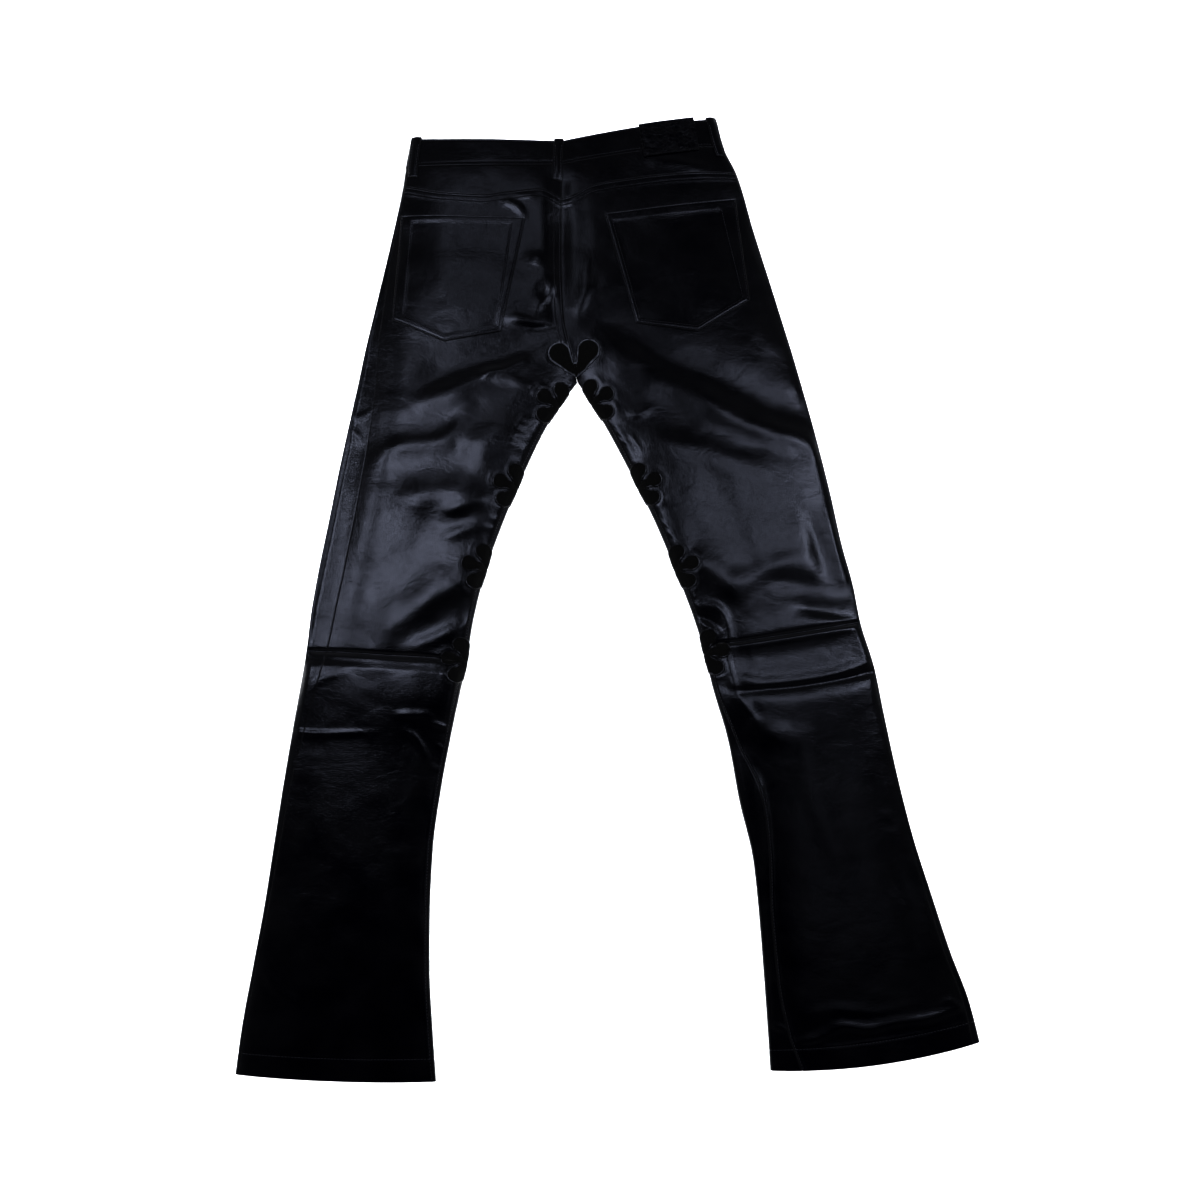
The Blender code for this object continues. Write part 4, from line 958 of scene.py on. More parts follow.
def lay_thread(name, rows, material):
    """The rows' stitches as one mesh. Each is a short rounded bar whose ends dip into the leather."""
    round_stitch = np.array([(1.0, 0.0), (0.0, 1.0), (-1.0, 0.0), (0.0, -1.0)])
    verts = []
    for points, normals in rows:
        knots = own_length(points)
        count = int(knots[-1] / STITCH_PITCH)
        if count < 1:
            continue
        at = (np.arange(count) + 0.5) * knots[-1] / count
        middle = follow(at, knots, points)
        up = follow(at, knots, normals)
        along = follow(at + 0.8, knots, points) - follow(at - 0.8, knots, points)
        along /= np.linalg.norm(along, axis=1)[:, None]
        side = np.cross(up, along)
        side /= np.linalg.norm(side, axis=1)[:, None]
        for step, size, low in STITCH_RINGS:
            ring = middle + along * (step * STITCH_LENGTH / 2) + up * low
            for aside, above in round_stitch:
                width, rise = aside * size * STITCH_WIDTH / 2, above * size * STITCH_RAISE
                verts.append((ring + side * width + up * rise)[:, None])
        verts[-16:] = [np.concatenate(verts[-16:], axis=1)]
    verts = np.concatenate(verts)
    quads = [
        [4 * ring + j, 4 * ring + (j + 1) % 4, 4 * ring + 4 + (j + 1) % 4, 4 * ring + 4 + j]
        for ring in range(3)
        for j in range(4)
    ] + [[3, 2, 1, 0], [12, 13, 14, 15]]
    faces = (np.arange(len(verts))[:, None, None] * 16 + np.array(quads)).reshape(-1, 4)
    return add_piece(name, faces_mesh(name, verts.reshape(-1, 3) * MM, faces), [material])


def leg_relief(half, runs, across, on_back, facing_up):
    """Heights over the skin of a leg panel's seams, their topstitching and the hem."""
    to_hem = (runs[-1] - runs)[:, None]
    hem = HEM_RAISE * ease(to_hem, HEM_DEPTH - HEM_SLOPE, HEM_DEPTH + HEM_SLOPE) * facing_up
    hem = hem - pulled_in(to_hem, (HEM_ROW,))
    if not on_back:
        return hem
    to_inner = (half.width(runs) - half.at("inseam", runs) - SEAM_GAP / 2)[:, None] - across
    in_seat = ease(runs, half.crotch - 8.0, half.crotch)[:, None]
    height = hem + topstitched((runs - runs[0])[:, None], YOKE_ROWS)
    height = height + (1.0 - in_seat) * topstitched(to_inner, INSEAM_ROWS, INSEAM_RAISE)
    if half is left:
        height = height + in_seat * topstitched(to_inner, CENTRE_ROWS)
    return height


def make_legs(half, name):
    """The back and front of one half, with their rows of stitches."""
    runs = half.rows("yoke seam", "hem")
    across = back_across(half, runs)
    back = patch_of(half, runs, across)
    relief = leg_relief(half, runs, across, True, 1.0)
    wall(
        "leather_back_" + name, "back_" + name, back, relief, half.wall_inside(runs),
        [leather],
    )
    front_runs = half.rows("band seam", "hem")
    front_over, under = front_across(half, front_runs)
    front = patch_of(half, front_runs, front_over, under)
    relief = leg_relief(half, front_runs, front_over, False, np.clip(front[1][..., 2], 0.0, 1.0))
    wall(
        "leather_front_" + name, "front_" + name, front, relief, half.wall_inside(front_runs),
        [leather],
    )
    side = half.at("side_seam", runs)
    inner = half.width(runs) - half.at("inseam", runs) - SEAM_GAP / 2
    share = np.linspace(0.004, 0.996, 60)
    for row in YOKE_ROWS:
        run = runs[0] + row
        start, stop = np.interp(run, runs, side) + 0.6, np.interp(run, runs, inner) - 0.6
        place = half.plan(run, start + (stop - start) * share, False)
        sew("thread_seat", place, False, SEAM_RAISE + SUNK)
    if half is left:
        in_seat = runs[(runs > runs[0] + 1.0) & (runs < half.crotch - 24.0)]
        for row in CENTRE_ROWS:
            over = np.interp(in_seat, runs, inner) - row
            sew("thread_seat", half.plan(in_seat, over, False), False, SEAM_RAISE + SUNK)
    in_leg = runs[(runs > half.crotch + 3.0) & (runs < runs[-1] - 1.0)]
    for row in INSEAM_ROWS:
        over = np.interp(in_leg, runs, inner) - row
        sew("thread_legs", half.plan(in_leg, over, False), False, INSEAM_RAISE + SUNK)
    run = half.runs[-1] - HEM_ROW
    width = half.width(run)
    seams = (float(half.at("side_seam", run)), float(width - half.at("inseam", run)))
    for start, stop, below in (
        (0.5, seams[0] - 0.6, False),
        (seams[0] + 0.8, seams[1] - 0.8, False),
        (seams[1] + 0.6, width - 0.5, False),
        (1.0, width - 1.0, True),
    ):
        place = half.plan(run, start + (stop - start) * share, below)
        sew("thread_legs", place, below, SUNK + (UNDER_HEM_SUNK if below else HEM_RAISE))


def make_yoke(half, name):
    """One half of the yoke, a strip between the waistband and the seat seam."""
    runs = half.rows("band seam", "yoke seam")
    patch = patch_of(half, runs, back_across(half, runs))
    wall("leather_yoke_" + name, "yoke_" + name, patch, 0.0, -LEATHER, [leather])


def make_waistband():
    """One strip all the way round from the button end, with its other end tucked up inside that one."""
    runs = left.rows("band top", "band seam")
    right_runs = on_the_right(runs)
    plain = slice(TURNED_COLUMNS, -TURNED_COLUMNS)
    left_under = front_across(left, runs)[0][:, plain]
    right_under = front_across(right, right_runs)[0][:, plain]
    left_back = spaced(1.0, np.array(BAND_NEAR_SIDE) / BAND_LENGTHS[0], BAND_STEP)
    right_back = spaced(1.0, np.array(BAND_NEAR_SIDE) / BAND_LENGTHS[1], BAND_STEP)
    from_centre = right.width(right_runs)[:, None]
    lap = LAP - np.array(LAP_COLUMNS)
    tuck = np.array(TUCK_COLUMNS)
    kept = 1 + len(FRONT_NEAR_SIDE) + FRONT_MIDDLE + 1
    strip = join_columns(
        patch_of(right, right_runs, from_centre - lap, True),
        patch_of(left, runs, left_under[:, ::-1], True),
        patch_of(left, runs, left.width(runs)[:, None] * left_back[1:-1]),
        patch_of(right, right_runs, from_centre * right_back[::-1]),
        patch_of(right, right_runs, right_under[:, 1:kept], True),
        patch_of(right, right_runs, from_centre - tuck, True),
    )
    tucked = np.zeros(strip[0].shape[1])
    tucked[-len(tuck):] = (BAND_WALL + SEAM_GAP) * ease(tuck, LAP + 2.0, TUCK_END)
    puff = BAND_PUFF * np.clip(strip[1][..., 2], 0.0, 1.0)
    pulls = pulled_in(runs[:, None], BAND_ROWS_FROM_TOP)
    pulls = pulls + pulled_in((runs[-1] - runs)[:, None], BAND_ROWS_FROM_SEAM)
    wall(
        "leather_waistband", "waistband", strip, BAND_PROUD + puff - pulls - tucked,
        BAND_PROUD - BAND_WALL - tucked, [leather],
    )
    share = np.linspace(0.008, 1.0, 80)
    height = BAND_PROUD + BAND_PUFF + SUNK
    for half, half_runs in ((left, runs), (right, right_runs)):
        for run in (BAND_ROWS_FROM_TOP[0], half_runs[-1] - BAND_ROWS_FROM_SEAM[0]):
            for under, lower in ((False, 0.0), (True, BAND_UNDER_SUNK)):
                place = half.plan(run, half.width(run) * share, under)
                sew("thread_waistband", place, under, height - lower)


def grid_normals(points):
    """Directions square to a grid of points, from its own rows and columns."""
    down = np.gradient(points, axis=0)
    over = np.gradient(points, axis=1)
    normals = np.cross(over, down)
    return normals / np.linalg.norm(normals, axis=-1)[..., None]


def make_loop(name, half, under, top_across, foot_across):
    """A belt loop: folded over the band's top edge, down its face and sewn below its seam."""
    seam = half.run_of("band seam")
    knots = np.array(LOOP_FROM_TOP + tuple((seam + down, out) for down, out in LOOP_FROM_SEAM))
    run, off = smooth_path(knots, 64).T
    middle = np.interp(run, [0.0, run[-1]], [top_across, foot_across])
    across = middle[:, None] + spaced(LOOP_WIDTH, LOOP_COLUMNS, 1.2) - LOOP_WIDTH / 2
    points, normals = patch_of(half, run, across, under)
    points = points + normals * off[:, None, None]
    own = grid_normals(points)
    centre = across.shape[1] // 2
    own *= np.sign((own[-1, centre] * normals[-1, centre]).sum())
    aside = np.abs(across - middle[:, None])
    from_edge = LOOP_WIDTH / 2 - aside
    crown = 0.0 if under else LOOP_CROWN
    relief = crown * (1.0 - (aside / (LOOP_WIDTH / 2)) ** 2)
    relief = relief - LOOP_PULL * bell(from_edge - LOOP_ROW, LOOP_PULL_WIDTH)
    wall("leather_" + name, name, (points, own), LOOP_WALL + relief, 0.0, [leather])
    for row in (LOOP_ROW, LOOP_WIDTH - LOOP_ROW):
        column = int(np.abs(across[0] - across[0, 0] - row).argmin())
        some = slice(14, -3)
        sewn, up = points[some, column], own[some, column]
        height = LOOP_WALL + (LOOP_THREAD_UNDER if under else relief[some, column])
        height = np.broadcast_to(height, len(sewn))[:, None] + LOOP_THREAD_PROUD
        threads["thread_waistband"].append((sewn + up * height, up))


def turned_rectangle(size, steps, centre, turn):
    """Places over a rectangle, closest together by its edges, turned about its centre."""
    width, height = size
    over = spaced(width, NEAR_EDGE, steps) - width / 2
    down = height / 2 - spaced(height, NEAR_EDGE, steps)
    over, down = np.meshgrid(over, down)
    x = centre[0] + over * math.cos(turn) - down * math.sin(turn)
    y = centre[1] + over * math.sin(turn) + down * math.cos(turn)
    return np.stack([x, y], axis=-1)


def make_patch():
    """The waistband patch, slightly buckled and pulled in by its row of stitches."""
    place = turned_rectangle(PATCH_SIZE, PATCH_STEP, PATCH_CENTRE, math.radians(PATCH_TURN))
    patch = skin(place, False)
    lift = BAND_PROUD + PATCH_GAP
    to_edge = np.minimum.reduce(distances(patch[0]))
    buckle = sum(rise * unevenness(place, size, seed) for size, rise, seed in PATCH_BUCKLES)
    relief = PATCH_RAISE * ease(to_edge, *PATCH_SLOPE)
    relief = relief - PATCH_PULL * bell(to_edge - PATCH_ROW, PATCH_PULL_WIDTH)
    relief = relief + buckle * (1.0 - ease(to_edge, *PATCH_FLAT_EDGE))
    wall(
        "leather_waist_patch", "waist_patch", patch, lift + PATCH_WALL + relief, lift,
        [patch_leather],
    )


def sides_of(corners):
    """Each side of a polygon: its start, its direction, and the direction square to it and inward."""
    corners = np.array(corners, float)
    centre = corners.mean(axis=0)
    sides = []
    for here, ahead in zip(corners, np.roll(corners, -1, axis=0)):
        along = (ahead - here) / np.linalg.norm(ahead - here)
        square = np.array([-along[1], along[0]])
        sides.append((here, along, square * np.sign((centre - here) @ square)))
    return sides


def inset(corners, depth):
    """The corners of a polygon drawn in on every side."""
    lines = [(here + square * depth, along) for here, along, square in sides_of(corners)]
    drawn = []
    for (here, along), (other, other_along) in zip(lines, [lines[-1]] + lines[:-1]):
        share = np.linalg.solve(np.stack([along, -other_along], axis=1), other - here)[0]
        drawn.append(here + along * share)
    return np.array(drawn)


def inside_of(place, corners):
    """How far places lie inside a polygon, below 0 outside."""
    return np.minimum.reduce([(place - here) @ square for here, _, square in sides_of(corners)])


def make_pocket(name, corners, inner_row):
    """A five-cornered back pocket: two rows of stitching all round, double leather between them."""
    side_top, inner_top, inner_foot, point, side_foot = np.array(corners, float)
    width = np.linalg.norm(inner_top - side_top)
    over = spaced(width, POCKET_COLUMNS, POCKET_STEP) / width
    to_point = np.linalg.norm(point - side_foot)
    share = to_point / (to_point + np.linalg.norm(inner_foot - point))
    over = np.sort(np.append(over, share + np.array(BY_POINT)))
    length = np.linalg.norm(side_foot - side_top)
    down = spaced(length, POCKET_COLUMNS[:16], POCKET_STEP) / length
    top = side_top + (inner_top - side_top) * over[:, None]
    foot = np.where(
        (over < share)[:, None],
        side_foot + (point - side_foot) * (over / share)[:, None],
        point + (inner_foot - point) * ((over - share) / (1.0 - share))[:, None],
    )
    place = top + (foot - top) * down[:, None, None]
    to_edge = np.maximum(inside_of(place, corners), 0.0)
    past_row = inside_of(place, inner_row)
    relief = POCKET_RAISE * ease(past_row, *POCKET_SLOPE)
    relief = relief - pulled_in(to_edge, (POCKET_ROW,)) - pulled_in(past_row, (0.0,))
    lift = SEAM_GAP + LEATHER
    patch = skin(place, False)
    wall(
        "leather_pocket_" + name, "pocket_" + name, patch, lift + relief, SEAM_GAP,
        [leather],
    )
    for line, share in ((inset(corners, POCKET_ROW), 1.0), (np.array(inner_row, float), AT_INNER_ROW)):
        for here, ahead in zip(line, np.roll(line, -1, axis=0)):
            steps = np.linspace(0.006, 0.994, 60)[:, None]
            height = lift + share * POCKET_RAISE + SUNK
            sew("thread_pockets", here + (ahead - here) * steps, False, height)


def petal_rim(angle, petals, reach, radius, heart_radius):
    """The flower's rim in one direction from its heart. A petal's middle lies at 0."""
    turn = 2 * math.pi / petals
    aside = reach * math.sin((angle + turn / 2) % turn - turn / 2)
    if abs(aside) >= radius:
        return heart_radius
    off = (angle + turn / 2) % turn - turn / 2
    return max(heart_radius, reach * math.cos(off) + math.sqrt(radius**2 - aside**2))


def petal_angles(petals, reach, radius):
    """Directions from the heart, closest together along the petals' sides and in the notches."""
    half_petal = math.asin(radius / reach)
    round_petal = np.arcsin(radius / reach * np.sin(np.radians(np.linspace(-89.7, 89.7, 19))))
    half_turn = math.pi / petals
    notch = [-half_turn, -(half_turn + half_petal) / 2, -half_petal - 0.012, half_petal + 0.012,
             (half_turn + half_petal) / 2]
    one = np.sort(np.concatenate([round_petal, notch]))
    return np.concatenate([one + 2 * half_turn * k for k in range(petals)])


def flower_rings(angles, rim):
    """Distances from the heart along each direction, closest together by the rim."""
    by_rim = np.array([0.0, 0.3, 0.7, 1.2, 1.8, 2.6, 3.8])
    inner = np.linspace(0.0, 1.0, 9)[1:-1]
    start = rim - by_rim[-1]
    return np.concatenate([inner[:, None] * start, rim - by_rim[::-1, None]])


def petal_relief(at, off_notch, from_heart, to_rim, heart_radius):
    """The height of a suede petal: puffed in its middle, raised at its rim, pulled in at the heart."""
    height = PETAL_PUFF * (1.0 - np.exp(-to_rim / PETAL_PUFF_REACH))
    height = height + PETAL_RIM_RAISE * ease(to_rim, PETAL_RIM - 0.5, PETAL_RIM)
    vein = bell(off_notch * from_heart, VEIN_WIDTH)
    vein = vein * ease(from_heart, heart_radius * 1.2, heart_radius * 2.4)
    rise, size, seed = PETAL_UNEVEN
    uneven = rise * unevenness(at, size, seed)
    return height - VEIN_DEPTH * vein - HEART_PULL * bell(from_heart, HEART_PULL_WIDTH) + uneven


def wheel_mesh(name, outer, inner):
    """A closed wall between two round grids, each given as its middle point and its rings."""
    rings, around = outer[1].shape[:2]
    verts = [middle_or_rings.reshape(-1, 3) for side in (outer, inner) for middle_or_rings in side]
    verts = np.concatenate(verts) * MM
    corner = 1 + np.arange(rings * around).reshape(rings, around)
    ahead = np.roll(corner, -1, axis=1)
    size = 1 + rings * around
    faces = np.stack([corner[:-1], corner[1:], ahead[1:], ahead[:-1]], axis=-1).reshape(-1, 4)
    hub = [np.zeros(around // 2, int), corner[0, ::2], corner[0, 1::2], np.roll(corner[0], -2)[::2]]
    hub = np.stack(hub, axis=-1)
    top = np.concatenate([faces, hub])
    rim = np.stack([corner[-1], corner[-1] + size, ahead[-1] + size, ahead[-1]], axis=-1)
    return faces_mesh(name, verts, np.concatenate([top, top[:, ::-1] + size, rim]))


def to_outline(at, outline):
    """How far places lie from a closed line of points."""
    ahead = np.roll(outline, -1, axis=0) - outline
    away = at[..., None, :] - outline
    share = np.clip((away * ahead).sum(-1) / (ahead * ahead).sum(-1), 0.0, 1.0)
    return np.linalg.norm(away - share[..., None] * ahead, axis=-1).min(axis=-1)


def mark_rims(mesh, to_rim):
    """Gives the faces by the rim the second material."""
    centres = np.zeros(len(mesh.polygons) * 3)
    mesh.polygons.foreach_get("center", centres)
    index = np.zeros(len(mesh.loops), int)
    mesh.loops.foreach_get("vertex_index", index)
    start = np.zeros(len(mesh.polygons), int)
    mesh.polygons.foreach_get("loop_start", start)
    near = to_rim[index[start[:, None] + np.arange(4)]].mean(axis=1) < PETAL_RIM
    mesh.polygons.foreach_set("material_index", near.astype(np.int32))


def make_inseam_flower(name, half, below_crotch):
    """A suede flower folded over the inseam, with three of its petals on each side of the leg."""
    runs, line, along, inward = heart_line(half)
    heart = heart_of(half, below_crotch)
    start = along[runs >= half.crotch][0]
    angles = petal_angles(PETALS, PETAL_REACH, PETAL_RADIUS)
    rim = np.array([petal_rim(a, PETALS, PETAL_REACH, PETAL_RADIUS, HEART_RADIUS) for a in angles])
    rings = flower_rings(angles, rim)
    outline = rim[:, None] * rays(angles)
    at = rings[..., None] * rays(angles)
    at = np.concatenate([np.zeros((1, 2)), at.reshape(-1, 2)])
    to_rim = to_outline(at, outline)
    from_heart = np.hypot(*at.T)
    off_notch = (np.arctan2(at[:, 1], at[:, 0]) + math.pi / PETALS) % (2 * math.pi / PETALS)
    off_notch = np.minimum(off_notch, 2 * math.pi / PETALS - off_notch)
    relief = petal_relief(at, off_notch, from_heart, to_rim, HEART_RADIUS)
    # Distances over the skin become distances in plan where it rolls round the edge.
    width = PETAL_REACH + PETAL_RADIUS
    over = np.abs(at[:, 0]) * (width + ROLL_SPARE) / width
    quarter = LEG_ROLL * math.pi / 2
    rolled = LEG_ROLL * (1.0 - np.cos(np.minimum(over, quarter) / LEG_ROLL))
    in_plan = np.where(over < quarter, rolled, over - ROLL_SPARE)
    there = np.maximum(heart + at[:, 1], start + 0.5)
    place, square = follow(there, along, line), follow(there, along, inward)
    square /= np.linalg.norm(square, axis=1)[:, None]
    under = at[:, 0] < 0.0
    points, normals = skin(place + square * in_plan[:, None], under)
    flat_relief = np.where(under, np.minimum(relief, FLAT_UNDER), relief)
    turned = turned_under(to_rim, SUEDE_ROUND)
    high = points + normals * (SEAM_GAP + SUEDE + flat_relief - turned)[:, None]
    low = points + normals * (SEAM_GAP + turned)[:, None]
    shape = (len(rings), len(angles), 3)
    mesh = wheel_mesh(name, (high[0], high[1:].reshape(shape)), (low[0], low[1:].reshape(shape)))
    flower = add_piece("suede_" + name, mesh, [suede, leather], name)
    mark_rims(mesh, np.concatenate([to_rim, to_rim]))


def make_crotch_flower():
    """The two petals that show above the crotch, over the centre-back seam."""
    angles = petal_angles(PETALS, CROTCH_PETAL_REACH, CROTCH_PETAL_RADIUS)
    half_turn = math.pi / PETALS
    angles = angles[angles < 3 * half_turn - 0.02]
    petal = (PETALS, CROTCH_PETAL_REACH, CROTCH_PETAL_RADIUS, CROTCH_HEART_RADIUS)
    rim = np.array([petal_rim(a, *petal) for a in angles])
    rings = flower_rings(angles, rim)
    rings = np.concatenate([np.full((1, len(angles)), 1.2), rings])
    facing = math.radians(CROTCH_TURN) - half_turn
    at = rings[..., None] * rays(angles + facing)
    outline = np.concatenate([at[-1], [[0.0, 0.0]]])
    to_rim = to_outline(at, outline)
    off_notch = np.broadcast_to((angles + half_turn) % (2 * half_turn), rings.shape)
    off_notch = np.minimum(off_notch, 2 * half_turn - off_notch)
    relief = petal_relief(at, off_notch, rings, to_rim, CROTCH_HEART_RADIUS)
    place = at + np.array(CROTCH_HEART)
    points, normals = skin(place, False)
    high = SEAM_GAP + SUEDE + OVER_SEAM * SEAM_RAISE + relief - turned_under(to_rim, SUEDE_ROUND)
    low = SEAM_GAP + turned_under(to_rim, SUEDE_ROUND)
    high, low = points + normals * high[..., None], points + normals * low[..., None]
    mesh = grid_mesh("flower_crotch", high, low)
    # The second material paints the crotch petals' rims pale grey: a painted highlight on their cut
    # edge.
    flower = add_piece("suede_flower_crotch", mesh, [suede, cut_edge_and_highlight], "flower_crotch")
    mark_rims(mesh, np.concatenate([to_rim.ravel(), to_rim.ravel()]))


def make_fly_shield():
    """The strip inside the fly, over the closed centre-front seam."""
    seam = left.run_of("band seam")
    runs = np.linspace(seam + FLY_ENDS[0], seam + FLY_ENDS[1], 34)
    right_runs = on_the_right(runs)
    strip = join_columns(
        patch_of(left, runs, left.width(runs)[:, None] - np.array(FLY_LEFT), True),
        patch_of(right, right_runs, right.width(right_runs)[:, None] - np.array(FLY_RIGHT), True),
    )
    inside = -(LEATHER + FLY_GAP)
    wall(
        "leather_fly_shield", "fly_shield", strip, inside, inside - LEATHER,
        [leather],
    )


def linear(code):
    """A colour in linear light, from its hex code."""
    shades = [int(code[k : k + 2], 16) / 255 for k in (1, 3, 5)]
    return tuple(s / 12.92 if s <= 0.04045 else ((s + 0.055) / 1.055) ** 2.4 for s in shades) + (1.0,)


def node(tree, kind, inputs=(), out=0, **settings):
    """Adds a node with its settings, values and links, and gives back one of its outputs."""
    made = tree.nodes.new("ShaderNode" + kind)
    for name, value in settings.items():
        setattr(made, name, value)
    for name, value in inputs.items() if isinstance(inputs, dict) else enumerate(inputs):
        if isinstance(value, bpy.types.NodeSocket):
            tree.links.new(value, made.inputs[name])
        else:
            made.inputs[name].default_value = value
    return made.outputs[out] if made.outputs else None


def new_material(name):
    """An empty material, its tree, and the place on the piece that its patterns follow."""
    material = bpy.data.materials.new(name)
    material.use_nodes = True
    tree = material.node_tree
    tree.nodes.clear()
    return material, tree, node(tree, "TexCoord", out="Object")


def mottled(tree, pattern, low, high, dark, pale):
    """A colour that goes from dark to pale as a pattern goes from low to high."""
    share = node(tree, "MapRange", (pattern, low, high, 0.0, 1.0))
    return node(tree, "Mix", {0: share, 6: linear(dark), 7: linear(pale)}, out=2, data_type="RGBA")


def glossy_leather(name, dark, pale, smooth, rough, wear_and_highlight_colour):
    """Finished cowhide: pebbled grain, stretch wrinkles, uneven gloss and turned edges painted paler,
    partly for wear and partly as a painted highlight.
    """
    material, tree, place = new_material(name)
    # Real pebbles are under 1 mm across; these are 2.3 mm, so that they show from arm's length.
    pebbles = node(tree, "TexVoronoi", {"Vector": place, "Scale": 430.0}, feature="DISTANCE_TO_EDGE")
    stretched = {"Vector": place, "Rotation": (0, 0, 0.2), "Scale": (30.0, 48.0, 40.0)}
    stretched = node(tree, "Mapping", stretched)
    wrinkles = {"Vector": stretched, "Scale": 1.0, "Detail": 3.0, "Roughness": 0.55, "Distortion": 0.7}
    wrinkles = node(tree, "TexNoise", wrinkles)
    uneven = node(tree, "TexNoise", {"Vector": place, "Scale": 26.0, "Detail": 3.0, "Roughness": 0.5})
    fine = node(tree, "TexNoise", {"Vector": place, "Scale": 800.0, "Detail": 2.0, "Roughness": 0.6})
    # The pale edge colour is partly wear and partly a painted highlight along the turned edges.
    wear_and_highlight = node(tree, "Attribute", out="Fac", attribute_name="wear_and_highlight")
    wear_and_highlight = node(tree, "MapRange", (wear_and_highlight, 0.25, 1.0, 0.0, 0.85))
    colour = mottled(tree, uneven, 0.35, 0.65, dark, pale)
    colour = node(tree, "Mix", {0: wear_and_highlight, 6: colour, 7: linear(wear_and_highlight_colour)}, out=2, data_type="RGBA")
    gloss = node(tree, "Math", (uneven, fine), operation="ADD")
    # Heights in millimetres: pebbles with narrow gaps, then sharp wrinkles, then the finest grain.
    pebbled = node(tree, "MapRange", (pebbles, 0.0, 0.16, 0.0, 0.03))
    off_wrinkle = node(tree, "Math", (wrinkles, 0.5), operation="SUBTRACT")
    off_wrinkle = node(tree, "Math", (off_wrinkle,), operation="ABSOLUTE")
    creased = node(tree, "MapRange", (off_wrinkle, 0.0, 0.12, 0.0, 0.06))
    height = node(tree, "Math", (creased, pebbled), operation="ADD")
    height = node(tree, "Math", (fine, 0.02, height), operation="MULTIPLY_ADD")
    finish = {
        "Base Color": colour,
        "Roughness": node(tree, "MapRange", (gloss, 0.7, 1.3, smooth, rough)),
        "Specular IOR Level": 0.25,
        "Normal": node(tree, "Bump", {"Strength": 1.0, "Distance": MM, "Height": height}),
    }
    node(tree, "OutputMaterial", {"Surface": node(tree, "BsdfPrincipled", finish)})
    return material


def napped_suede(name, dark, pale):
    """Suede: no gloss, a soft mottled nap brushed lighter in places, and fine fibres."""
    material, tree, place = new_material(name)
    nap = node(tree, "TexNoise", {"Vector": place, "Scale": 160.0, "Detail": 4.0, "Roughness": 0.65})
    fibres = node(tree, "TexNoise", {"Vector": place, "Scale": 1400.0, "Detail": 2.0, "Roughness": 0.7})
    finish = {
        "Base Color": mottled(tree, nap, 0.35, 0.7, dark, pale),
        "Roughness": 0.95,
        "Specular IOR Level": 0.08,
        "Sheen Weight": 0.03,
        "Sheen Roughness": 0.5,
        "Normal": node(tree, "Bump", {"Strength": 0.6, "Distance": 0.0004, "Height": fibres}),
    }
    node(tree, "OutputMaterial", {"Surface": node(tree, "BsdfPrincipled", finish)})
    return material


def crackled_leather(name, dark, pale):
    """Bare leather that has stiffened and crackled, duller than the panels."""
    material, tree, place = new_material(name)
    cracks = node(tree, "TexVoronoi", {"Vector": place, "Scale": 190.0}, feature="DISTANCE_TO_EDGE")
    uneven = node(tree, "TexNoise", {"Vector": place, "Scale": 120.0, "Detail": 4.0})
    open_crack = node(tree, "MapRange", (cracks, 0.0, 0.09, 0.0, 1.0))
    height = node(tree, "Math", (uneven, 0.8, open_crack), operation="MULTIPLY_ADD")
    finish = {
        "Base Color": mottled(tree, uneven, 0.4, 0.7, dark, pale),
        "Roughness": node(tree, "MapRange", (uneven, 0.3, 0.7, 0.2, 0.34)),
        "Specular IOR Level": 0.12,
        "Normal": node(tree, "Bump", {"Strength": 0.7, "Distance": 0.0002, "Height": height}),
    }
    node(tree, "OutputMaterial", {"Surface": node(tree, "BsdfPrincipled", finish)})
    return material


def waxed_thread(name, dark, pale):
    """Waxed polyester thread, with its ply across each stitch."""
    material, tree, place = new_material(name)
    ply = node(tree, "TexNoise", {"Vector": place, "Scale": 900.0, "Detail": 1.0})
    finish = {
        "Base Color": mottled(tree, ply, 0.35, 0.65, dark, pale),
        "Roughness": 0.38,
        "Specular IOR Level": 0.35,
        "Normal": node(tree, "Bump", {"Strength": 0.5, "Distance": 0.0002, "Height": ply}),
    }
    node(tree, "OutputMaterial", {"Surface": node(tree, "BsdfPrincipled", finish)})
    return material


def dark_metal(name, dark, pale):
    """Blackened brass, rubbed a little paler in places, with fine turning marks."""
    material, tree, place = new_material(name)
    rubbed = node(tree, "TexNoise", {"Vector": place, "Scale": 300.0, "Detail": 3.0})
    finish = {
        "Base Color": mottled(tree, rubbed, 0.4, 0.7, dark, pale),
        "Metallic": 1.0,
        "Roughness": node(tree, "MapRange", (rubbed, 0.3, 0.7, 0.28, 0.45)),
        "Normal": node(tree, "Bump", {"Strength": 0.2, "Distance": 0.0001, "Height": rubbed}),
    }
    node(tree, "OutputMaterial", {"Surface": node(tree, "BsdfPrincipled", finish)})
    return material


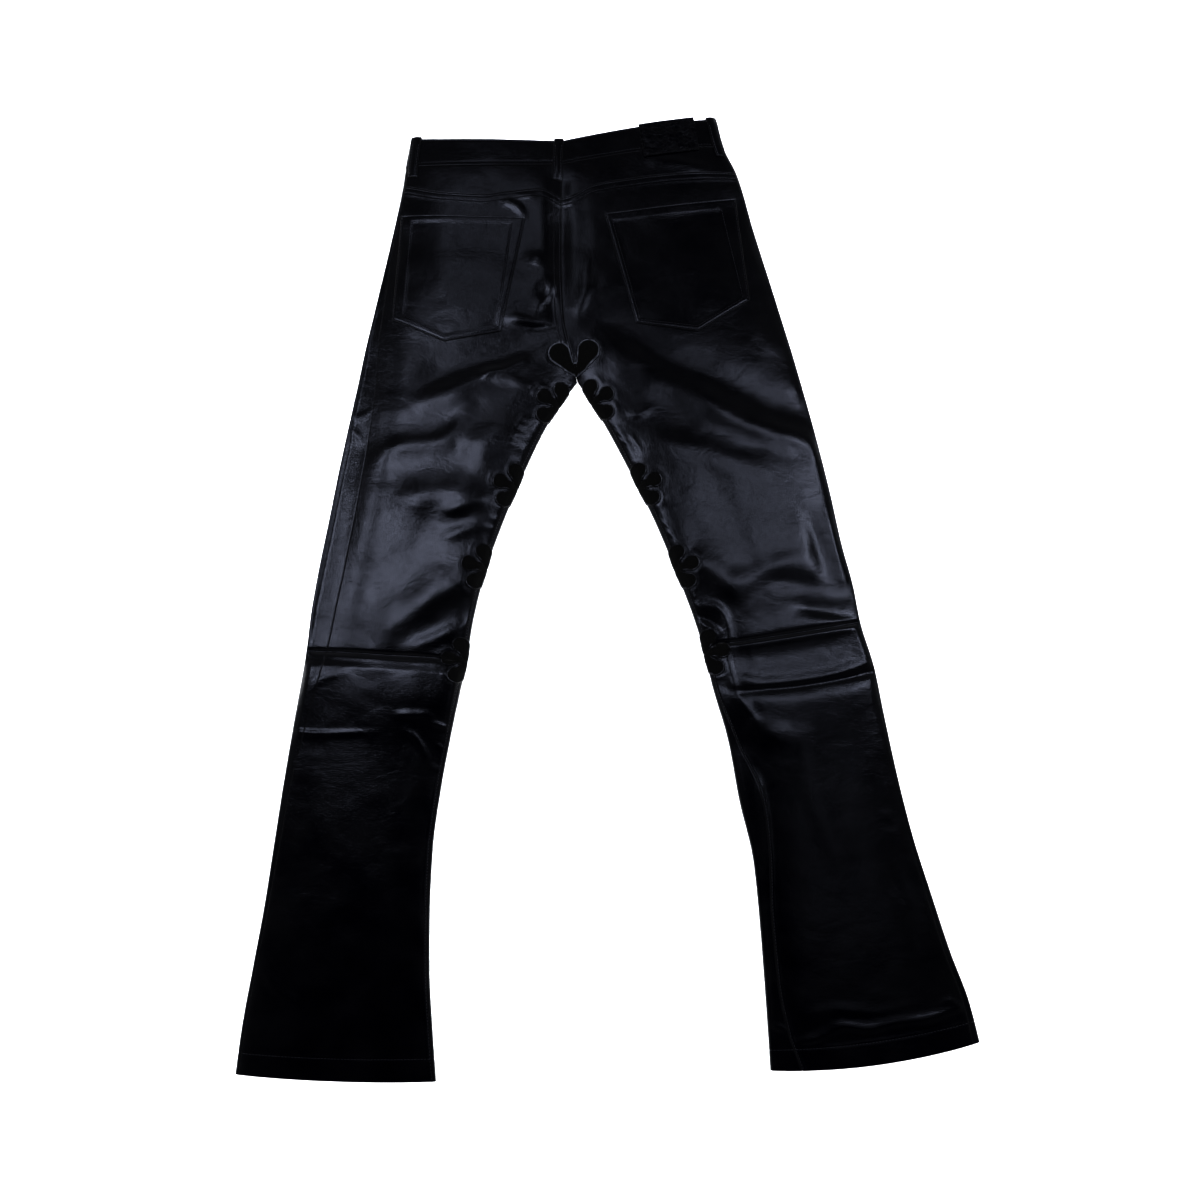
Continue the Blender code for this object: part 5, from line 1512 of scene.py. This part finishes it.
def make_studio():
    """A pale floor, boxes of light overhead that gloss shows, a fill for the floor, and pale walls."""
    corners = ((-1, -1), (1, -1), (1, 1), (-1, 1))
    corners = [(x * FLOOR_HALF, y * FLOOR_HALF, FLOOR_DROP) for x, y in corners]
    mesh = bpy.data.meshes.new("floor")
    mesh.from_pydata(corners, [], [(0, 1, 2, 3)])
    floor = bpy.data.objects.new("floor", mesh)
    bpy.context.scene.collection.objects.link(floor)
    # Matt emulsion on a smooth board: nearly white, with a faint mottle and no gloss.
    material, tree, place = new_material("pale painted floor")
    mottle = node(tree, "TexNoise", {"Vector": place, "Scale": 8.0})
    tone = {0: mottle, 6: linear("#f6f6f7"), 7: linear("#f8f8f8")}
    tone = node(tree, "Mix", tone, out=2, data_type="RGBA")
    paint = {"Base Color": tone, "Roughness": 0.9, "Specular IOR Level": 0.1}
    node(tree, "OutputMaterial", {"Surface": node(tree, "BsdfPrincipled", paint)})
    mesh.materials.append(material)
    for name, (x, y, height, size_x, size_y, power, seen_in_gloss) in LIGHTS.items():
        light = bpy.data.lights.new(name, "AREA")
        light.shape = "RECTANGLE"
        light.size, light.size_y, light.energy = size_x, size_y, power
        light.color = linear(BOX_COLOUR)[:3] if seen_in_gloss else (1.0, 1.0, 1.0)
        lamp = bpy.data.objects.new(name, light)
        bpy.context.scene.collection.objects.link(lamp)
        lamp.location = (x, y, height)
        lamp.visible_glossy = seen_in_gloss
    world = bpy.data.worlds.new("studio walls")
    bpy.context.scene.world = world
    world.use_nodes = True
    tree = world.node_tree
    tree.nodes.clear()
    up = node(tree, "SeparateXYZ", (node(tree, "TexCoord", out="Generated"),), out="Z")
    pale = node(tree, "MapRange", (up, *WALL_TOP, *WALL_LIGHT))
    walls = node(tree, "Background", {"Color": linear(WALL_COLOUR), "Strength": pale})
    node(tree, "OutputWorld", {"Surface": walls})


def make_camera():
    """The camera, aimed at the middle of the garment."""
    lens = bpy.data.cameras.new("camera")
    lens.lens = CAMERA_LENS
    lens.sensor_width = 36.0
    camera = bpy.data.objects.new("camera", lens)
    bpy.context.scene.collection.objects.link(camera)
    camera.location = CAMERA_PLACE
    aim = Vector(CAMERA_TARGET) - Vector(CAMERA_PLACE)
    camera.rotation_euler = aim.to_track_quat("-Z", "Y").to_euler()
    bpy.context.scene.camera = camera


# Cowhide, drum-dyed black and finished with a clear coat: bright soft highlights on near-black
# folds.
# The last colour paints the turned edges paler: partly wear, partly a painted highlight.
leather = glossy_leather("finished cowhide", "#000001", "#010102", 0.17, 0.22, "#08080a")
# Split hide, dyed black and sueded by brushing: petals that drink the light beside the glossy
# leather.
suede = napped_suede("sueded split hide", "#010101", "#020202")
# The raw rim of a split, cut with a die, coloured pale grey as a painted highlight: a thin grey line
# that stands in for the light caught along the two petals' rims at the crotch.
cut_edge_and_highlight = napped_suede("cut suede edge with painted highlight", "#131418", "#35373d")
# Vegetable-tanned leather, dyed black and dried out: the waist patch, broken and dull beside the
# waistband.
patch_leather = crackled_leather("crackled patch leather", "#000001", "#020203")
# Spun polyester, dyed black and waxed: stitches a little paler than the leather that they lie in.
thread = waxed_thread("waxed black thread", "#08080b", "#121318")
# Turned brass, blackened by oxidising: the waist button's dull warm gleam.
metal = dark_metal("blackened brass", "#2a2825", "#5a554d")

for half_name, this_half in HALVES.items():
    make_legs(this_half, half_name)
    make_yoke(this_half, half_name)
    make_pocket(half_name, *POCKETS[half_name])
    for number, place_down in enumerate(FLOWER_PLACES[half_name], start=1):
        make_inseam_flower(f"flower_{half_name}_{number}", this_half, place_down)
make_waistband()
for loop_name, (half_name, on_front, at_top, at_foot) in LOOPS.items():
    make_loop(loop_name, HALVES[half_name], on_front, at_top, at_foot)
make_patch()
make_crotch_flower()
make_fly_shield()
for thread_name, thread_rows in threads.items():
    lay_thread(thread_name, thread_rows, thread)
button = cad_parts["waist_button"]
for button_slot in button.material_slots:
    button_slot.material = metal
make_studio()
make_camera()
bpy.context.scene.view_settings.view_transform = "Standard"
bpy.context.scene.view_settings.exposure = FILM_EXPOSURE
bpy.context.scene.view_settings.gamma = FILM_GAMMA
